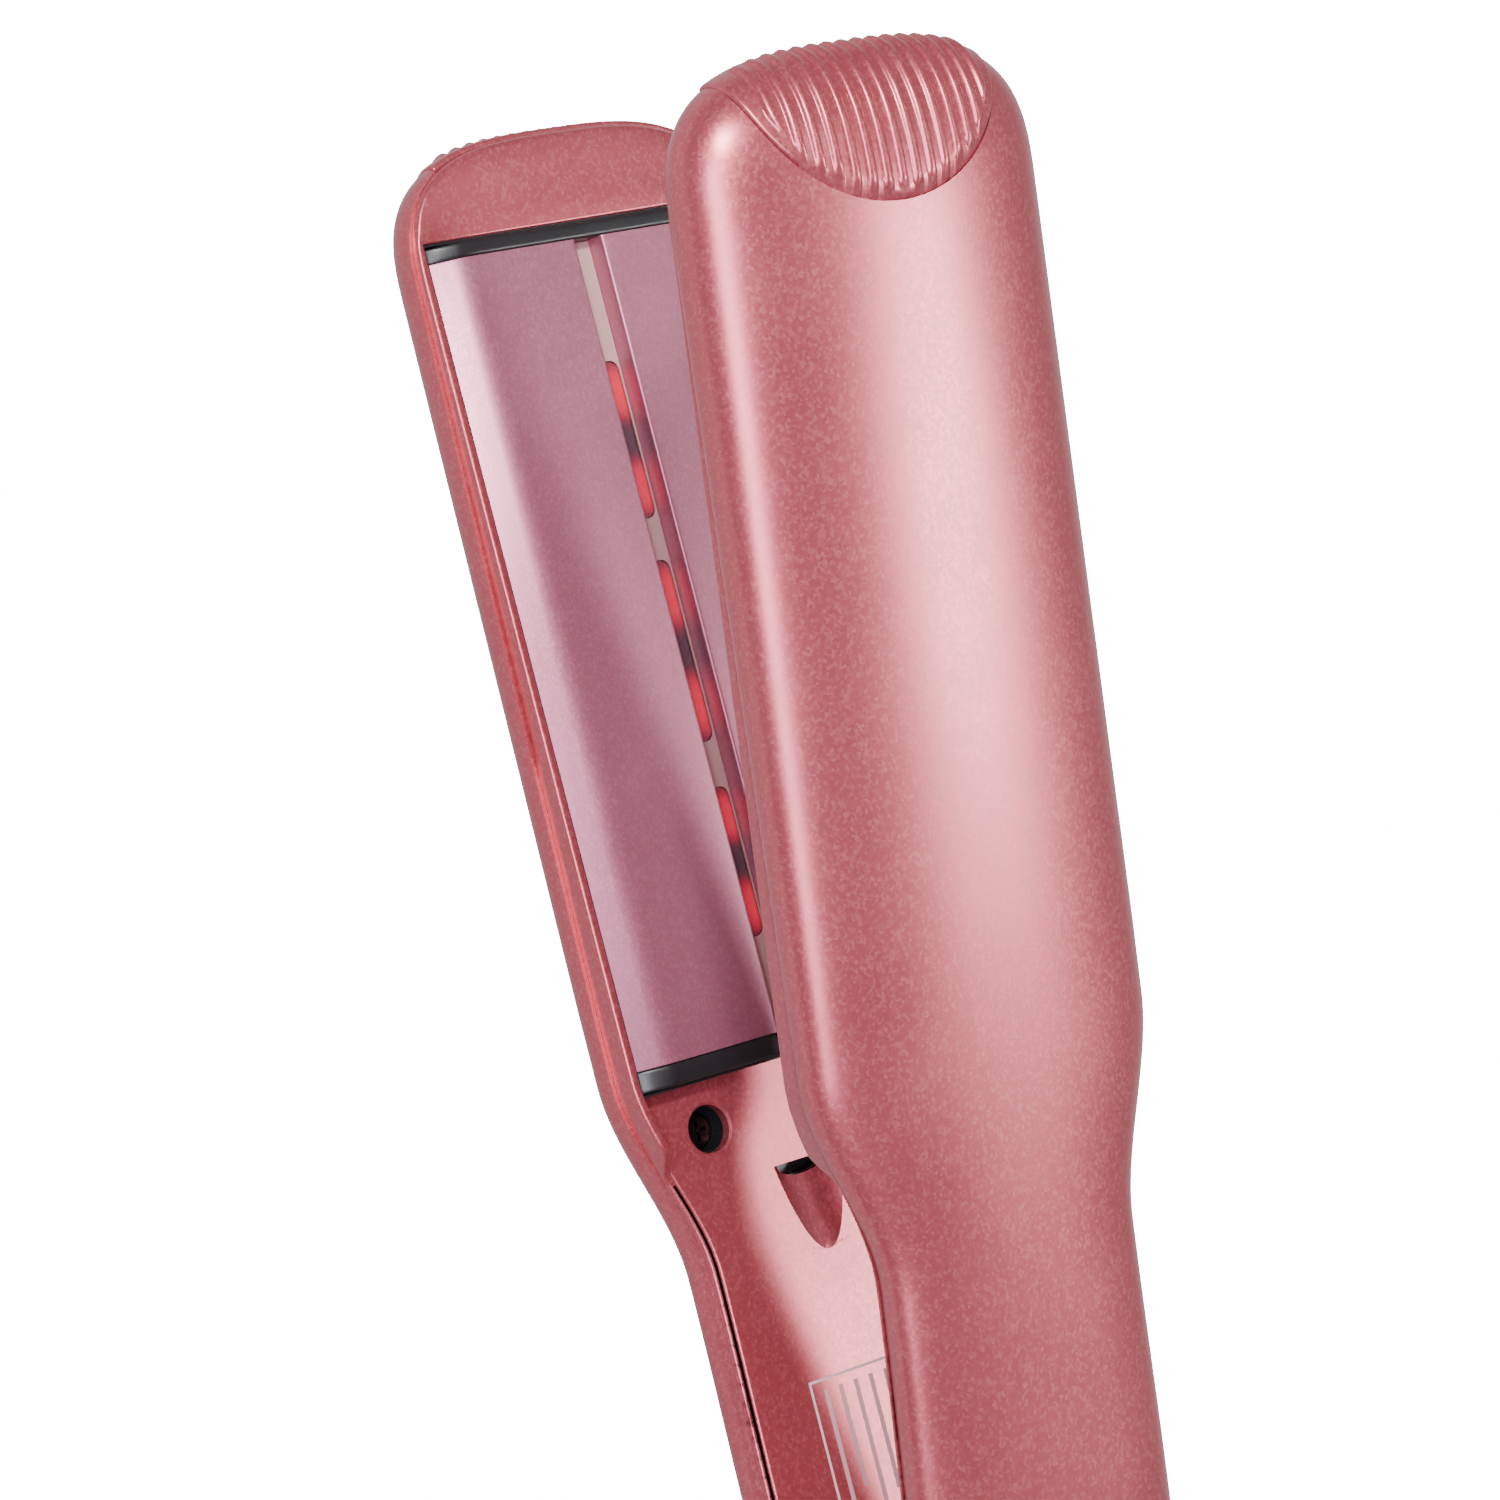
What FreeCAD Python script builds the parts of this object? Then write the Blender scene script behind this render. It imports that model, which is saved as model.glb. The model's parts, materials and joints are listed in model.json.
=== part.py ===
import FreeCAD, Part
import math
import os

# Flat iron (hair straightener): two hinged arms, each with a floating heater plate.
#
# Working frame while modelling, millimetres: X runs from the hinge to the tips with X = 0 at the
# middle of the heater plates, Z = 0 is the plane where the two plates meet when the arms are
# closed, and the lower arm lies under that plane. Every piece of the upper arm is the lower
# arm's piece mirrored in Z = 0 and then turned open about the hinge axis. At the very end the
# whole iron is shifted so that it stands on Z = 0 with its box centred on X = 0, Y = 0.

V = FreeCAD.Vector
AXIS_X, AXIS_Y, AXIS_Z = V(1, 0, 0), V(0, 1, 0), V(0, 0, 1)

# ---------------------------------------------------------------- driving dimensions, mm, degrees
OPEN_ANGLE = 11.85          # the rest pose: arms sprung open against their stop
HINGE_X = -188.0            # hinge axis, parallel to Y, on the mating plane
PLATE_LENGTH = 98.0
PLATE_WIDTH = 44.5          # the 1.75 inch plate size
PLATE_FACE_Z = -0.15        # each plate stops this far short of the mating plane
PLATE_THICKNESS = 2.5
CHANNEL_HALF = 1.9          # centre channel of the plate
CHANNEL_DEPTH = 3.0
CHANNEL_WALL = 1.0
SHOULDER, SHOULDER_DROP = 4.2, 1.9      # sloped long edges, so that hair slides on
WINDOW_SPANS = [(-37.4, -18.8), (-13.2, 9.4), (14.6, 34.2)]   # light windows along the channel

HEAD_HALF = 24.7            # half width of the shell at the head
HANDLE_HALF = 18.1          # half width where the waist ends
HANDLE_FLARE = 0.5          # the handle widens again by this much
SHELL_DEPTH = 12.4          # mating plane to the back of the shell
SHELL_WALL = 1.8
SECTION_POWER = 2.3         # superellipse power of the back's cross-section
NOSE_START = 45.0
NOSE_LENGTH = 18.0
NOSE_POWER = 3.07           # superellipse power of the nose seen from above
WAIST_START, WAIST_END = -49.5, -75.0

RIM_FRONT_X, RIM_FRONT_DEPTH = 44.0, 2.1     # parting line of shell and inner panel
RIM_WAIST_X, RIM_WAIST_DEPTH = -41.0, 4.3
RIM_HANDLE_DEPTH = 4.8
PARTING_GAP = 0.05          # between the inner panel and the shell's rim

PANEL_TOP_Z = -0.8          # inner panel round the plate
PANEL_HALF = 23.8
PANEL_THICKNESS = 1.6
PLATE_GAP = 0.35            # clear gap round the floating plate
DECK_TOP_Z = -4.0           # inner panel of the handle
DECK_HALF = 15.8
DECK_START = -62.0          # the raised side rims end here
DECK_END = -175.5

TIP_STRIP = 2.0             # black strips at the plate's two ends
WAIST_STRIP = 2.8

KNUCKLE_GAP = 0.3           # side clearance between hinge knuckles
KNUCKLE_STEP = 0.08         # the knuckles stand this far inside the back of the handle
EAR_INNER = 12.9            # lower arm's outer knuckles start here
CHEEK_INNER = 7.6           # upper arm's knuckles start here
PIN_RADIUS = 2.5
PIN_CLEARANCE = 0.05
CAP_RADIUS = 7.0
SWIVEL_RADIUS = 5.6         # cord inlet swivel
SWIVEL_BORE = 2.6
SWIVEL_PROUD = 6.0
SWIVEL_ROOM = 7.6           # the upper arm's end wall is opened this wide round the swivel
CAVITY_END = HINGE_X + 13.0 # the arms are solid from here to the hinge

GRIP_LENGTH, GRIP_HALF = 17.4, 18.3          # ribbed finger grip: a half ellipse on the nose
GRIP_PROUD, GRIP_SUNK, RIB_PROUD = 0.3, 0.8, 0.7
RIB_PITCH, RIB_WIDTH = 2.1, 1.0
RIB_COUNT = 15

SCREW_X, SCREW_Y = -58.0, 12.5               # waist screws, one each side
SCREW_HEAD, SCREW_SHANK = 2.3, 1.2
WELL_RADIUS, WELL_FLOOR = 2.9, -8.2          # counterbored screw wells
SCREW_LENGTH = 2.2
SCOOP_X, SCOOP_END_X = -66.7, -76.3           # shallow trough in the waist floor
SCOOP_RADIUS, SCOOP_DROP = 9.0, 2.4
SLOT_LENGTH, SLOT_HALF, SLOT_FLOOR = 1.6, 3.8, -9.0
REAR_SCREW_X, REAR_SCREW_Y = -168.0, 11.0

SPRING_X, SPRING_RADIUS, SPRING_WIRE, SPRING_TURNS = -163.0, 3.6, 0.45, 6

parts = {}


# ---------------------------------------------------------------- shape of an arm, by formula
def smoothstep(t):
    """0 below 0, 1 above 1, and a smooth S between."""
    t = min(max(t, 0.0), 1.0)
    return t * t * (3 - 2 * t)


def half_width(x):
    """Half width of the shell: wide head, waist, slightly flaring handle."""
    waist = smoothstep((WAIST_START - x) / (WAIST_START - WAIST_END))
    flare = smoothstep((WAIST_END - x) / 35.0)
    return HEAD_HALF - (HEAD_HALF - HANDLE_HALF) * waist + HANDLE_FLARE * flare


def rim_depth(x):
    """Depth of the parting line below the mating plane."""
    if x >= RIM_WAIST_X:
        t = (RIM_FRONT_X - x) / (RIM_FRONT_X - RIM_WAIST_X)
        return max(RIM_FRONT_DEPTH + (RIM_WAIST_DEPTH - RIM_FRONT_DEPTH) * t, 1.7)
    t = smoothstep((RIM_WAIST_X - x) / 35.0)
    return RIM_WAIST_DEPTH + (RIM_HANDLE_DEPTH - RIM_WAIST_DEPTH) * t


def roll_in(x):
    """How far the shell rolls inward from its widest line up to the rim."""
    return 0.35 + 0.95 * smoothstep((WAIST_START - x) / (WAIST_START - WAIST_END))


def belly_drop(x):
    """Height from the rim down to the widest line."""
    return 1.6 + 1.2 * smoothstep((WAIST_START - x) / (WAIST_START - WAIST_END))


def section_points(x, grow, rim_lift, samples=9):
    """Right half and left half of a section at x: rim, widest line, back, widest line, rim.

    grow offsets the surface outward; rim_lift moves the open edge up past the parting line.
    """
    u = max(x - NOSE_START, 0.0) / (NOSE_LENGTH + grow)
    plan = (1 - u ** NOSE_POWER) ** (1 / NOSE_POWER)
    full = half_width(x) + grow
    wide = full * plan
    rim = rim_depth(x)
    belly = rim + belly_drop(x)
    roll = roll_in(x) * (1 - u * u)
    depth = SHELL_DEPTH + grow - belly
    side = [(wide - roll, -rim + rim_lift), (wide - 0.3 * roll, -rim - 0.45 * (belly - rim))]
    for i in range(samples):
        angle = math.pi / 2 * i / (samples - 1)
        y = wide * math.cos(angle) ** (2 / SECTION_POWER)
        rho = (u ** NOSE_POWER + (y / full) ** NOSE_POWER) ** (1 / NOSE_POWER)
        if u == 0:
            rho = y / full
        sink = max(1 - min(rho, 1.0) ** SECTION_POWER, 0.0) ** (1 / SECTION_POWER)
        if u == 0:
            sink = math.sin(angle) ** (2 / SECTION_POWER)
        side.append((y, -belly - depth * sink))
    other = [(-y, z) for y, z in reversed(side[:-1])]
    return [V(x, y, z) for y, z in side + other]


def section_wire(x, grow, rim_lift):
    """Closed D-shaped section: one smooth curve round the back, one straight line across."""
    points = section_points(x, grow, rim_lift)
    curve = Part.BSplineCurve()
    curve.interpolate(points)
    return Part.Wire([curve.toShape(), Part.makeLine(points[-1], points[0])])


def arm_zones(grow, rear):
    """X positions of the sections, in zones: nose, straight head, waist and handle."""
    steps = 10
    nose = [NOSE_START + (NOSE_LENGTH + grow) * math.sin(math.pi / 2 * 0.96 * i / steps)
            for i in range(steps, -1, -1)]
    waist_rear = WAIST_END - 36.0
    waist = [RIM_WAIST_X + (waist_rear - RIM_WAIST_X) * i / 14 for i in range(15)]
    return [nose, [NOSE_START, RIM_WAIST_X], waist, [waist_rear, rear]]


def arm_blank(grow=0.0, rim_lift=0.0, rear=HINGE_X):
    """Solid D-section arm from the nose to the hinge axis."""
    zones = []
    for xs in arm_zones(grow, rear):
        wires = [section_wire(x, grow, rim_lift) for x in xs]
        zones.append(Part.makeLoft(wires, True, len(xs) == 2))
    return zones[0].multiFuse(zones[1:])


def back_depth(x, y):
    """Depth of the shell's outer surface below the mating plane at a handle station."""
    belly = rim_depth(x) + belly_drop(x)
    rho = min(abs(y) / half_width(x), 1.0)
    return belly + (SHELL_DEPTH - belly) * (1 - rho ** SECTION_POWER) ** (1 / SECTION_POWER)


# ---------------------------------------------------------------- small helpers
def box(x0, x1, y0, y1, z0, z1):
    return Part.makeBox(x1 - x0, y1 - y0, z1 - z0, V(x0, y0, z0))


def both_sides(shape):
    """The shape and its mirror image across the arm's middle."""
    return [shape, shape.mirror(V(0, 0, 0), AXIS_Y)]


def fuse(shapes):
    return shapes[0].multiFuse(shapes[1:]).removeSplitter() if len(shapes) > 1 else shapes[0]


def cylinder_z(x, y, z0, z1, radius):
    return Part.makeCylinder(radius, z1 - z0, V(x, y, z0), AXIS_Z)


def cylinder_y(x, z, y0, y1, radius):
    return Part.makeCylinder(radius, y1 - y0, V(x, y0, z), AXIS_Y)


def cylinder_x(y, z, x0, x1, radius):
    return Part.makeCylinder(radius, x1 - x0, V(x0, y, z), AXIS_X)


def extrude_profile(points, x0, x1):
    """Prism along X from a closed (y, z) outline."""
    wire = Part.makePolygon([V(x0, y, z) for y, z in points + points[:1]])
    return Part.Face(wire).extrude(V(x1 - x0, 0, 0))


def outline_prism(points, z0, z1):
    """Prism along Z from a closed (x, y) outline made of one smooth curve and a closing line."""
    curve = Part.BSplineCurve()
    curve.interpolate([V(x, y, z0) for x, y in points])
    line = Part.makeLine(V(points[-1][0], points[-1][1], z0), V(points[0][0], points[0][1], z0))
    return Part.Face(Part.Wire([curve.toShape(), line])).extrude(V(0, 0, z1 - z0))


def plan_outline(inset_side, inset_nose, rear):
    """Half-and-half outline of the arm seen from above, set in from the shell's widest line."""
    pts = []
    x = rear
    while x < WAIST_START:
        pts.append((x, half_width(x) - inset_side))
        x += 3.0
    pts += [(WAIST_START, HEAD_HALF - inset_side), (-20.0, HEAD_HALF - inset_side),
            (15.0, HEAD_HALF - inset_side), (NOSE_START, HEAD_HALF - inset_side)]
    for i in range(1, 16):
        angle = math.pi / 2 * i / 16
        u = math.sin(angle) ** (2 / NOSE_POWER)
        v = math.cos(angle) ** (2 / NOSE_POWER)
        pts.append((NOSE_START + (NOSE_LENGTH - inset_nose) * u, (HEAD_HALF - inset_side) * v))
    apex = [(NOSE_START + NOSE_LENGTH - inset_nose, 0.0)]
    return pts + apex + [(px, -py) for px, py in reversed(pts)]


def rounded_slot(x0, x1, half, z0, z1, radius):
    """Box with rounded vertical corners."""
    body = box(x0, x1, -half, half, z0, z1)
    upright = [e for e in body.Edges if abs(e.Vertexes[0].Z - e.Vertexes[1].Z) > 0.01]
    return body.makeFillet(radius, upright)


# ---------------------------------------------------------------- housings of one arm
BLANK = arm_blank()
ABOVE_RIM_CUTTER = arm_blank(2.0, PARTING_GAP)
CAVITY = arm_blank(-SHELL_WALL, 3.0, CAVITY_END)
MID_WALL = arm_blank(-SHELL_WALL / 2, 3.0)


def knuckle(y0, y1):
    """Barrel round the hinge axis whose radius follows the back of the handle."""
    y1 = min(y1, half_width(HINGE_X) - KNUCKLE_STEP)
    ys = [y0 + (y1 - y0) * math.sin(math.pi / 2 * i / 8) for i in range(9)]
    rim = [V(HINGE_X, y, KNUCKLE_STEP - back_depth(HINGE_X, y)) for y in ys]
    curve = Part.BSplineCurve()
    curve.interpolate(rim)
    axis_start, axis_end = V(HINGE_X, y0, 0), V(HINGE_X, y1, 0)
    wire = Part.Wire([Part.makeLine(axis_start, rim[0]), curve.toShape(),
                      Part.makeLine(rim[-1], axis_end), Part.makeLine(axis_end, axis_start)])
    return Part.Face(wire).revolve(V(HINGE_X, 0, 0), AXIS_Y, 360)


def hinge_clearance(y0, y1):
    return cylinder_y(HINGE_X, 0, y0, y1, SHELL_DEPTH + 0.4)


def screw_post(x, y, top, radius=2.6):
    """Post that stands on the inside of the shell and takes a screw from above."""
    post = cylinder_z(x, y, -SHELL_DEPTH, top, radius)
    pilot_end = max(top - 3.4, -SHELL_DEPTH + 1.5)
    return post.common(MID_WALL).cut(cylinder_z(x, y, pilot_end, top, SCREW_SHANK))


def well_spots():
    """Places of the four screws that hold the panel to the shell."""
    return [(x, side * y) for x, y in ((SCREW_X, SCREW_Y), (REAR_SCREW_X, REAR_SCREW_Y))
            for side in (1, -1)]


def shell(knuckle_spans, gaps, pin_radius):
    """Outer shell: hollow D-section with its share of the hinge knuckles and screw posts."""
    body = BLANK.cut(CAVITY)
    body = body.cut([cut for y0, y1 in gaps for cut in both_sides(hinge_clearance(y0, y1))])
    knuckles = [half for y0, y1 in knuckle_spans for half in both_sides(knuckle(y0, y1))]
    posts = [screw_post(x, y, WELL_FLOOR - 0.6) for x, y in well_spots()]
    body = body.multiFuse(knuckles + posts)
    pilot_end = WELL_FLOOR - SCREW_LENGTH - 0.1
    pilots = [cylinder_z(x, y, pilot_end, WELL_FLOOR, SCREW_SHANK) for x, y in well_spots()]
    return body.cut([cylinder_y(HINGE_X, 0, -30, 30, pin_radius)] + pilots)


def inner_panel():
    """Inner moulding: raised frame round the plate, nose deck, waist floor and handle deck."""
    head = outline_prism(plan_outline(0.9, 0.5, DECK_START), -8.0, PANEL_TOP_Z)
    deck_inset = HANDLE_HALF - DECK_HALF
    deck = outline_prism(plan_outline(deck_inset, 3.0, DECK_END), -8.0, DECK_TOP_Z)
    deck = deck.common(box(DECK_END, DECK_START + 12, -30, 30, -9, 0))
    body = head.fuse(deck).cut(ABOVE_RIM_CUTTER)
    underside = outline_prism(plan_outline(2.2, 2.0, -52.0), -8.0, PANEL_TOP_Z - PANEL_THICKNESS)
    floor_clear = outline_prism(plan_outline(2.1, 2.0, DECK_START - 1), DECK_TOP_Z, 1.0)
    floor_clear = floor_clear.common(box(DECK_START - 1, -PLATE_LENGTH / 2 - WAIST_STRIP, -30, 30, -5, 1))
    inner_slab = outline_prism(plan_outline(deck_inset + 1.0, 3.0, DECK_END), -5.6, -4.5)
    inner_slab = inner_slab.common(box(CAVITY_END + 0.2, -52.6, -30, 30, -6, -4))
    front = PLATE_LENGTH / 2 + TIP_STRIP + PLATE_GAP
    rear = PLATE_LENGTH / 2 + WAIST_STRIP + PLATE_GAP
    half = PLATE_WIDTH / 2 + PLATE_GAP
    opening = box(-rear, front, -half, half, -9, 1)
    ramp = Part.Face(Part.makePolygon([V(-63.5, -30, -4.0), V(-63.5, -30, 0), V(-58.0, -30, 0),
                                       V(-58.6, -30, PANEL_TOP_Z), V(-62.2, -30, -4.0),
                                       V(-63.5, -30, -4.0)])).extrude(V(0, 60, 0))
    body = body.cut(underside).cut(floor_clear).cut(ramp)
    tower = box(-78.5, -62.4, -5.6, 5.6, -9.9, -4.5)
    bosses = [cylinder_z(x, y, WELL_FLOOR - 0.6, -4.5, WELL_RADIUS + 1.0) for x, y in well_spots()]
    body = body.multiFuse([inner_slab, tower] + bosses).cut(opening)
    slope = math.atan2(SCOOP_DROP, SCOOP_X - SCOOP_END_X)
    lift = SCOOP_RADIUS / math.cos(slope)
    start = V(SCOOP_END_X - 14, 0, DECK_TOP_Z + lift + 14 * math.tan(slope))
    reach = (SCOOP_X - SCOOP_END_X + 14) / math.cos(slope)
    scoop = Part.makeCylinder(SCOOP_RADIUS, reach, start, V(math.cos(slope), 0, -math.sin(slope)))
    scoop = scoop.common(box(SCOOP_END_X - 14, SCOOP_X, -10, 10, -9, 6))
    slot = rounded_slot(SCOOP_X, SCOOP_X + SLOT_LENGTH, SLOT_HALF, SLOT_FLOOR, 1.0, 0.75)
    cuts = [scoop, slot]
    for x, y in well_spots():
        cuts.append(cylinder_z(x, y, WELL_FLOOR - 1, WELL_FLOOR + 0.5, SCREW_SHANK + 0.2))
        cuts.append(cylinder_z(x, y, WELL_FLOOR, 1, WELL_RADIUS))
    cuts.append(box(DECK_END - 1, -171.0, -8.6, 8.6, -9, 0))
    return body.cut(fuse(cuts))


def ellipse_prism(inset):
    """Vertical prism of the finger grip's outline."""
    ring = Part.Ellipse(V(NOSE_START + NOSE_LENGTH, 0, -30), GRIP_HALF - inset, GRIP_LENGTH - inset)
    edge = ring.toShape()
    edge.rotate(V(NOSE_START + NOSE_LENGTH, 0, -30), AXIS_Z, 90)
    return Part.Face(Part.Wire(edge)).extrude(V(0, 0, 60))


def nose_blank(grow, rim_lift=0.0):
    """Only the nose zone of the arm, reaching a little way back into the head."""
    xs = arm_zones(grow, HINGE_X)[0]
    nose = Part.makeLoft([section_wire(x, grow, rim_lift) for x in xs], True, False)
    stub = Part.makeLoft([section_wire(x, grow, rim_lift) for x in (NOSE_START, NOSE_START - 3)],
                         True, True)
    return nose.fuse(stub)


def grip_pad():
    """Ribbed finger grip laid into the nose of the shell, wrapping over its end."""
    base = nose_blank(GRIP_PROUD).cut(nose_blank(-GRIP_SUNK, 3.0)).common(ellipse_prism(0.0))
    slabs = []
    for i in range(RIB_COUNT):
        y = (i - (RIB_COUNT - 1) / 2) * RIB_PITCH
        slabs.append(box(40, 70, y - RIB_WIDTH / 2, y + RIB_WIDTH / 2, -20, -RIM_FRONT_DEPTH - 0.3))
    skin = nose_blank(RIB_PROUD).cut(nose_blank(-0.1, 3.0))
    ribs = skin.common(Part.makeCompound(slabs).common(ellipse_prism(1.4)))
    return base.multiFuse(ribs.Solids)


def grip_bed():
    """What is cut out of a shell to lay the finger grip in."""
    skin = nose_blank(1.5, 1.0).cut(nose_blank(-GRIP_SUNK, 3.0))
    return skin.common(ellipse_prism(-0.05))


# ---------------------------------------------------------------- floating plate of one arm
def heater_plate():
    """Aluminium profile: two flats with rounded long edges and a U channel with windows."""
    half, top = PLATE_WIDTH / 2, PLATE_FACE_Z
    low = top - PLATE_THICKNESS
    floor = top - CHANNEL_DEPTH
    outer = CHANNEL_HALF + CHANNEL_WALL
    profile = [(-half, low), (-outer, low), (-outer, floor - CHANNEL_WALL),
               (outer, floor - CHANNEL_WALL), (outer, low), (half, low),
               (half, top - SHOULDER_DROP), (half - SHOULDER, top),
               (CHANNEL_HALF, top), (CHANNEL_HALF, floor), (-CHANNEL_HALF, floor),
               (-CHANNEL_HALF, top), (SHOULDER - half, top), (-half, top - SHOULDER_DROP)]
    body = extrude_profile(profile, -PLATE_LENGTH / 2, PLATE_LENGTH / 2)
    for y, z, radius in ((half, top - SHOULDER_DROP, 0.6), (half - SHOULDER, top, 4.0),
                         (CHANNEL_HALF, top, 0.45)):
        edges = [e for e in body.Edges if all(abs(abs(v.Y) - y) < 0.01 and abs(v.Z - z) < 0.01
                                              for v in e.Vertexes)]
        body = body.makeFillet(radius, edges)
    windows = [rounded_slot(x0, x1, CHANNEL_HALF - 0.3, floor - 3, floor + 0.5, 1.2)
               for x0, x1 in WINDOW_SPANS]
    return body.cut(fuse(windows))


def light_windows():
    """Clear inserts that close the three windows in the channel's floor."""
    floor = PLATE_FACE_Z - CHANNEL_DEPTH
    return Part.makeCompound([rounded_slot(x0, x1, CHANNEL_HALF - 0.3, floor - CHANNEL_WALL,
                                           floor - 0.15, 1.2) for x0, x1 in WINDOW_SPANS])


def end_strip(x0, x1):
    """Black strip across one end of the plate, sloped with it and softly rounded on top."""
    half, low, top = PLATE_WIDTH / 2, -4.4, -0.45
    side = top - SHOULDER_DROP
    body = extrude_profile([(-half, low), (half, low), (half, side), (half - SHOULDER, top),
                            (SHOULDER - half, top), (-half, side)], x0, x1)
    upper = [e for e in body.Edges if all(v.Z > side - 0.01 for v in e.Vertexes)
             and abs(e.Vertexes[0].X - e.Vertexes[1].X) < 0.01]
    return body.makeFillet(0.5, upper)


def ceramic_heaters():
    """Two ceramic heating strips under the flats of the plate."""
    top = PLATE_FACE_Z - PLATE_THICKNESS
    strips = [box(-36, 36, y - 4, y + 4, top - 1.3, top) for y in (10.5, -10.5)]
    return Part.makeCompound(strips)


def heater_clamp():
    """Formed sheet that holds the heaters up against the plate, dipping under the channel."""
    top = PLATE_FACE_Z - PLATE_THICKNESS - 1.3
    dip = PLATE_FACE_Z - CHANNEL_DEPTH - CHANNEL_WALL
    t, reach, turn = 0.6, 15.5, CHANNEL_HALF + CHANNEL_WALL + 0.05
    profile = [(-reach, top), (-turn, top), (-turn, dip), (turn, dip), (turn, top), (reach, top),
               (reach, top - t), (turn + t, top - t), (turn + t, dip - t),
               (-turn - t, dip - t), (-turn - t, top - t), (-reach, top - t)]
    body = extrude_profile(profile, -38, 38)
    windows = [rounded_slot(x0, x1, CHANNEL_HALF - 0.2, dip - 2, dip + 0.4, 1.2)
               for x0, x1 in WINDOW_SPANS]
    return body.cut(fuse(windows))


def thermistor():
    """Glass-bead sensor in a small carrier, pressed to the plate beside a heater."""
    top = PLATE_FACE_Z - PLATE_THICKNESS
    foot = box(40.5, 46, 8, 12, top - 1.0, top)
    bead = cylinder_x(10, top - 1.6, 41, 45.5, 0.8)
    return foot.fuse(bead)


def thermal_fuse():
    """Axial cut-out in its sleeve at the waist end of the plate."""
    top = PLATE_FACE_Z - PLATE_THICKNESS
    body = cylinder_x(-10, top - 1.5, -47.5, -40, 1.5)
    legs = cylinder_x(-10, top - 1.5, -48.6, -39.2, 0.35)
    return body.fuse(legs)


# ---------------------------------------------------------------- fixed inside of one arm
CARRIER_FLOOR = -8.6


def plate_carrier():
    """Heat-proof tray that guides the floating plate, with stops for the silicone cushions."""
    outer = [(-20.6, -5.2), (-20.6, -6.2), (-14.4, CARRIER_FLOOR - 0.8),
             (14.4, CARRIER_FLOOR - 0.8), (20.6, -6.2), (20.6, -5.2)]
    inner = [(19.6, -5.2), (19.6, -5.7), (14.0, CARRIER_FLOOR),
             (-14.0, CARRIER_FLOOR), (-19.6, -5.7), (-19.6, -5.2)]
    body = extrude_profile(outer + inner, -47.5, 43.0)
    ribs = []
    for x in (-46.5, -30.0, 0.0, 30.0, 42.0):
        ribs.append(extrude_profile([(3.6, CARRIER_FLOOR - 0.1), (13.9, CARRIER_FLOOR - 0.1),
                                     (13.9, -7.6), (3.6, -7.6)], x - 0.5, x + 0.5))
    ribs += [rib.mirror(V(0, 0, 0), AXIS_Y) for rib in ribs]
    return body.multiFuse(ribs)


def plate_cushions():
    """Four silicone cushions that spring the plate outward."""
    top = PLATE_FACE_Z - PLATE_THICKNESS - 1.9
    pads = []
    for x in (-36.0, 36.0):
        for y in (10.5, -10.5):
            pads.append(Part.makeCone(2.4, 1.9, top - CARRIER_FLOOR, V(x, y, CARRIER_FLOOR), AXIS_Z))
    return Part.makeCompound(pads)


def led_board():
    """Narrow circuit board under the channel."""
    return box(-42, 38, -2.9, 2.9, CARRIER_FLOOR, CARRIER_FLOOR + 0.8)


def leds():
    """Two lamps under each light window."""
    base = CARRIER_FLOOR + 0.8
    lamps = []
    for x0, x1 in WINDOW_SPANS:
        for share in (0.2, 0.8):
            x = x0 + (x1 - x0) * share
            lamps.append(box(x - 1.4, x + 1.4, -1.1, 1.1, base, base + 0.6))
    return Part.makeCompound(lamps)


def wire(points, radius):
    """Insulated lead along straight runs with round corners."""
    solids = []
    for a, b in zip(points, points[1:]):
        a, b = V(*a), V(*b)
        solids.append(Part.makeCylinder(radius, (b - a).Length, a, b - a))
    solids += [Part.makeSphere(radius, V(*p)) for p in points[1:-1]]
    return fuse(solids)


def leads(start_x):
    """Two heater leads and two sensor leads from the handle to the plate."""
    return Part.makeCompound([wire([(start_x, y, -9.1), (-50, y, -9.1), (-50, y, -5.8)], 0.6)
                              for y in (6.4, 7.7, -6.4, -7.7)])


def pan_screw(x, y, head_base, length):
    """Cross-head pan screw standing on Z, with its head up."""
    head = cylinder_z(x, y, head_base, head_base + 1.3, SCREW_HEAD)
    head = head.makeFillet(0.6, [e for e in head.Edges if e.BoundBox.ZMin > head_base + 1.2])
    shank = cylinder_z(x, y, head_base - length, head_base + 0.1, SCREW_SHANK)
    slot_a = box(x - 1.3, x + 1.3, y - 0.25, y + 0.25, head_base + 0.7, head_base + 2)
    slot_b = box(x - 0.25, x + 0.25, y - 1.3, y + 1.3, head_base + 0.7, head_base + 2)
    return head.fuse(shank).cut(slot_a.fuse(slot_b))


def panel_screws():
    """Four screws that close the arm: one pair at the waist, one pair at the rear."""
    return Part.makeCompound([pan_screw(x, y, WELL_FLOOR, SCREW_LENGTH) for x, y in well_spots()])


# ---------------------------------------------------------------- controls in the lower handle
BOARD_TOP = -8.2
BOARD_FRONT, BOARD_REAR = -114.0, -158.0
DISPLAY_FRONT, DISPLAY_REAR, DISPLAY_HALF = -116.0, -134.0, 5.5
BUTTONS = {"plus_button": (-139.0, 2.7), "power_button": (-146.5, 3.3), "minus_button": (-154.0, 2.7)}
BUTTON_PROUD, BUTTON_TRAVEL = 0.6, 0.4
BUTTON_FLANGE_Z = -6.4


def main_board():
    return box(BOARD_REAR, BOARD_FRONT, -8, 8, BOARD_TOP - 1.2, BOARD_TOP)


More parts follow.
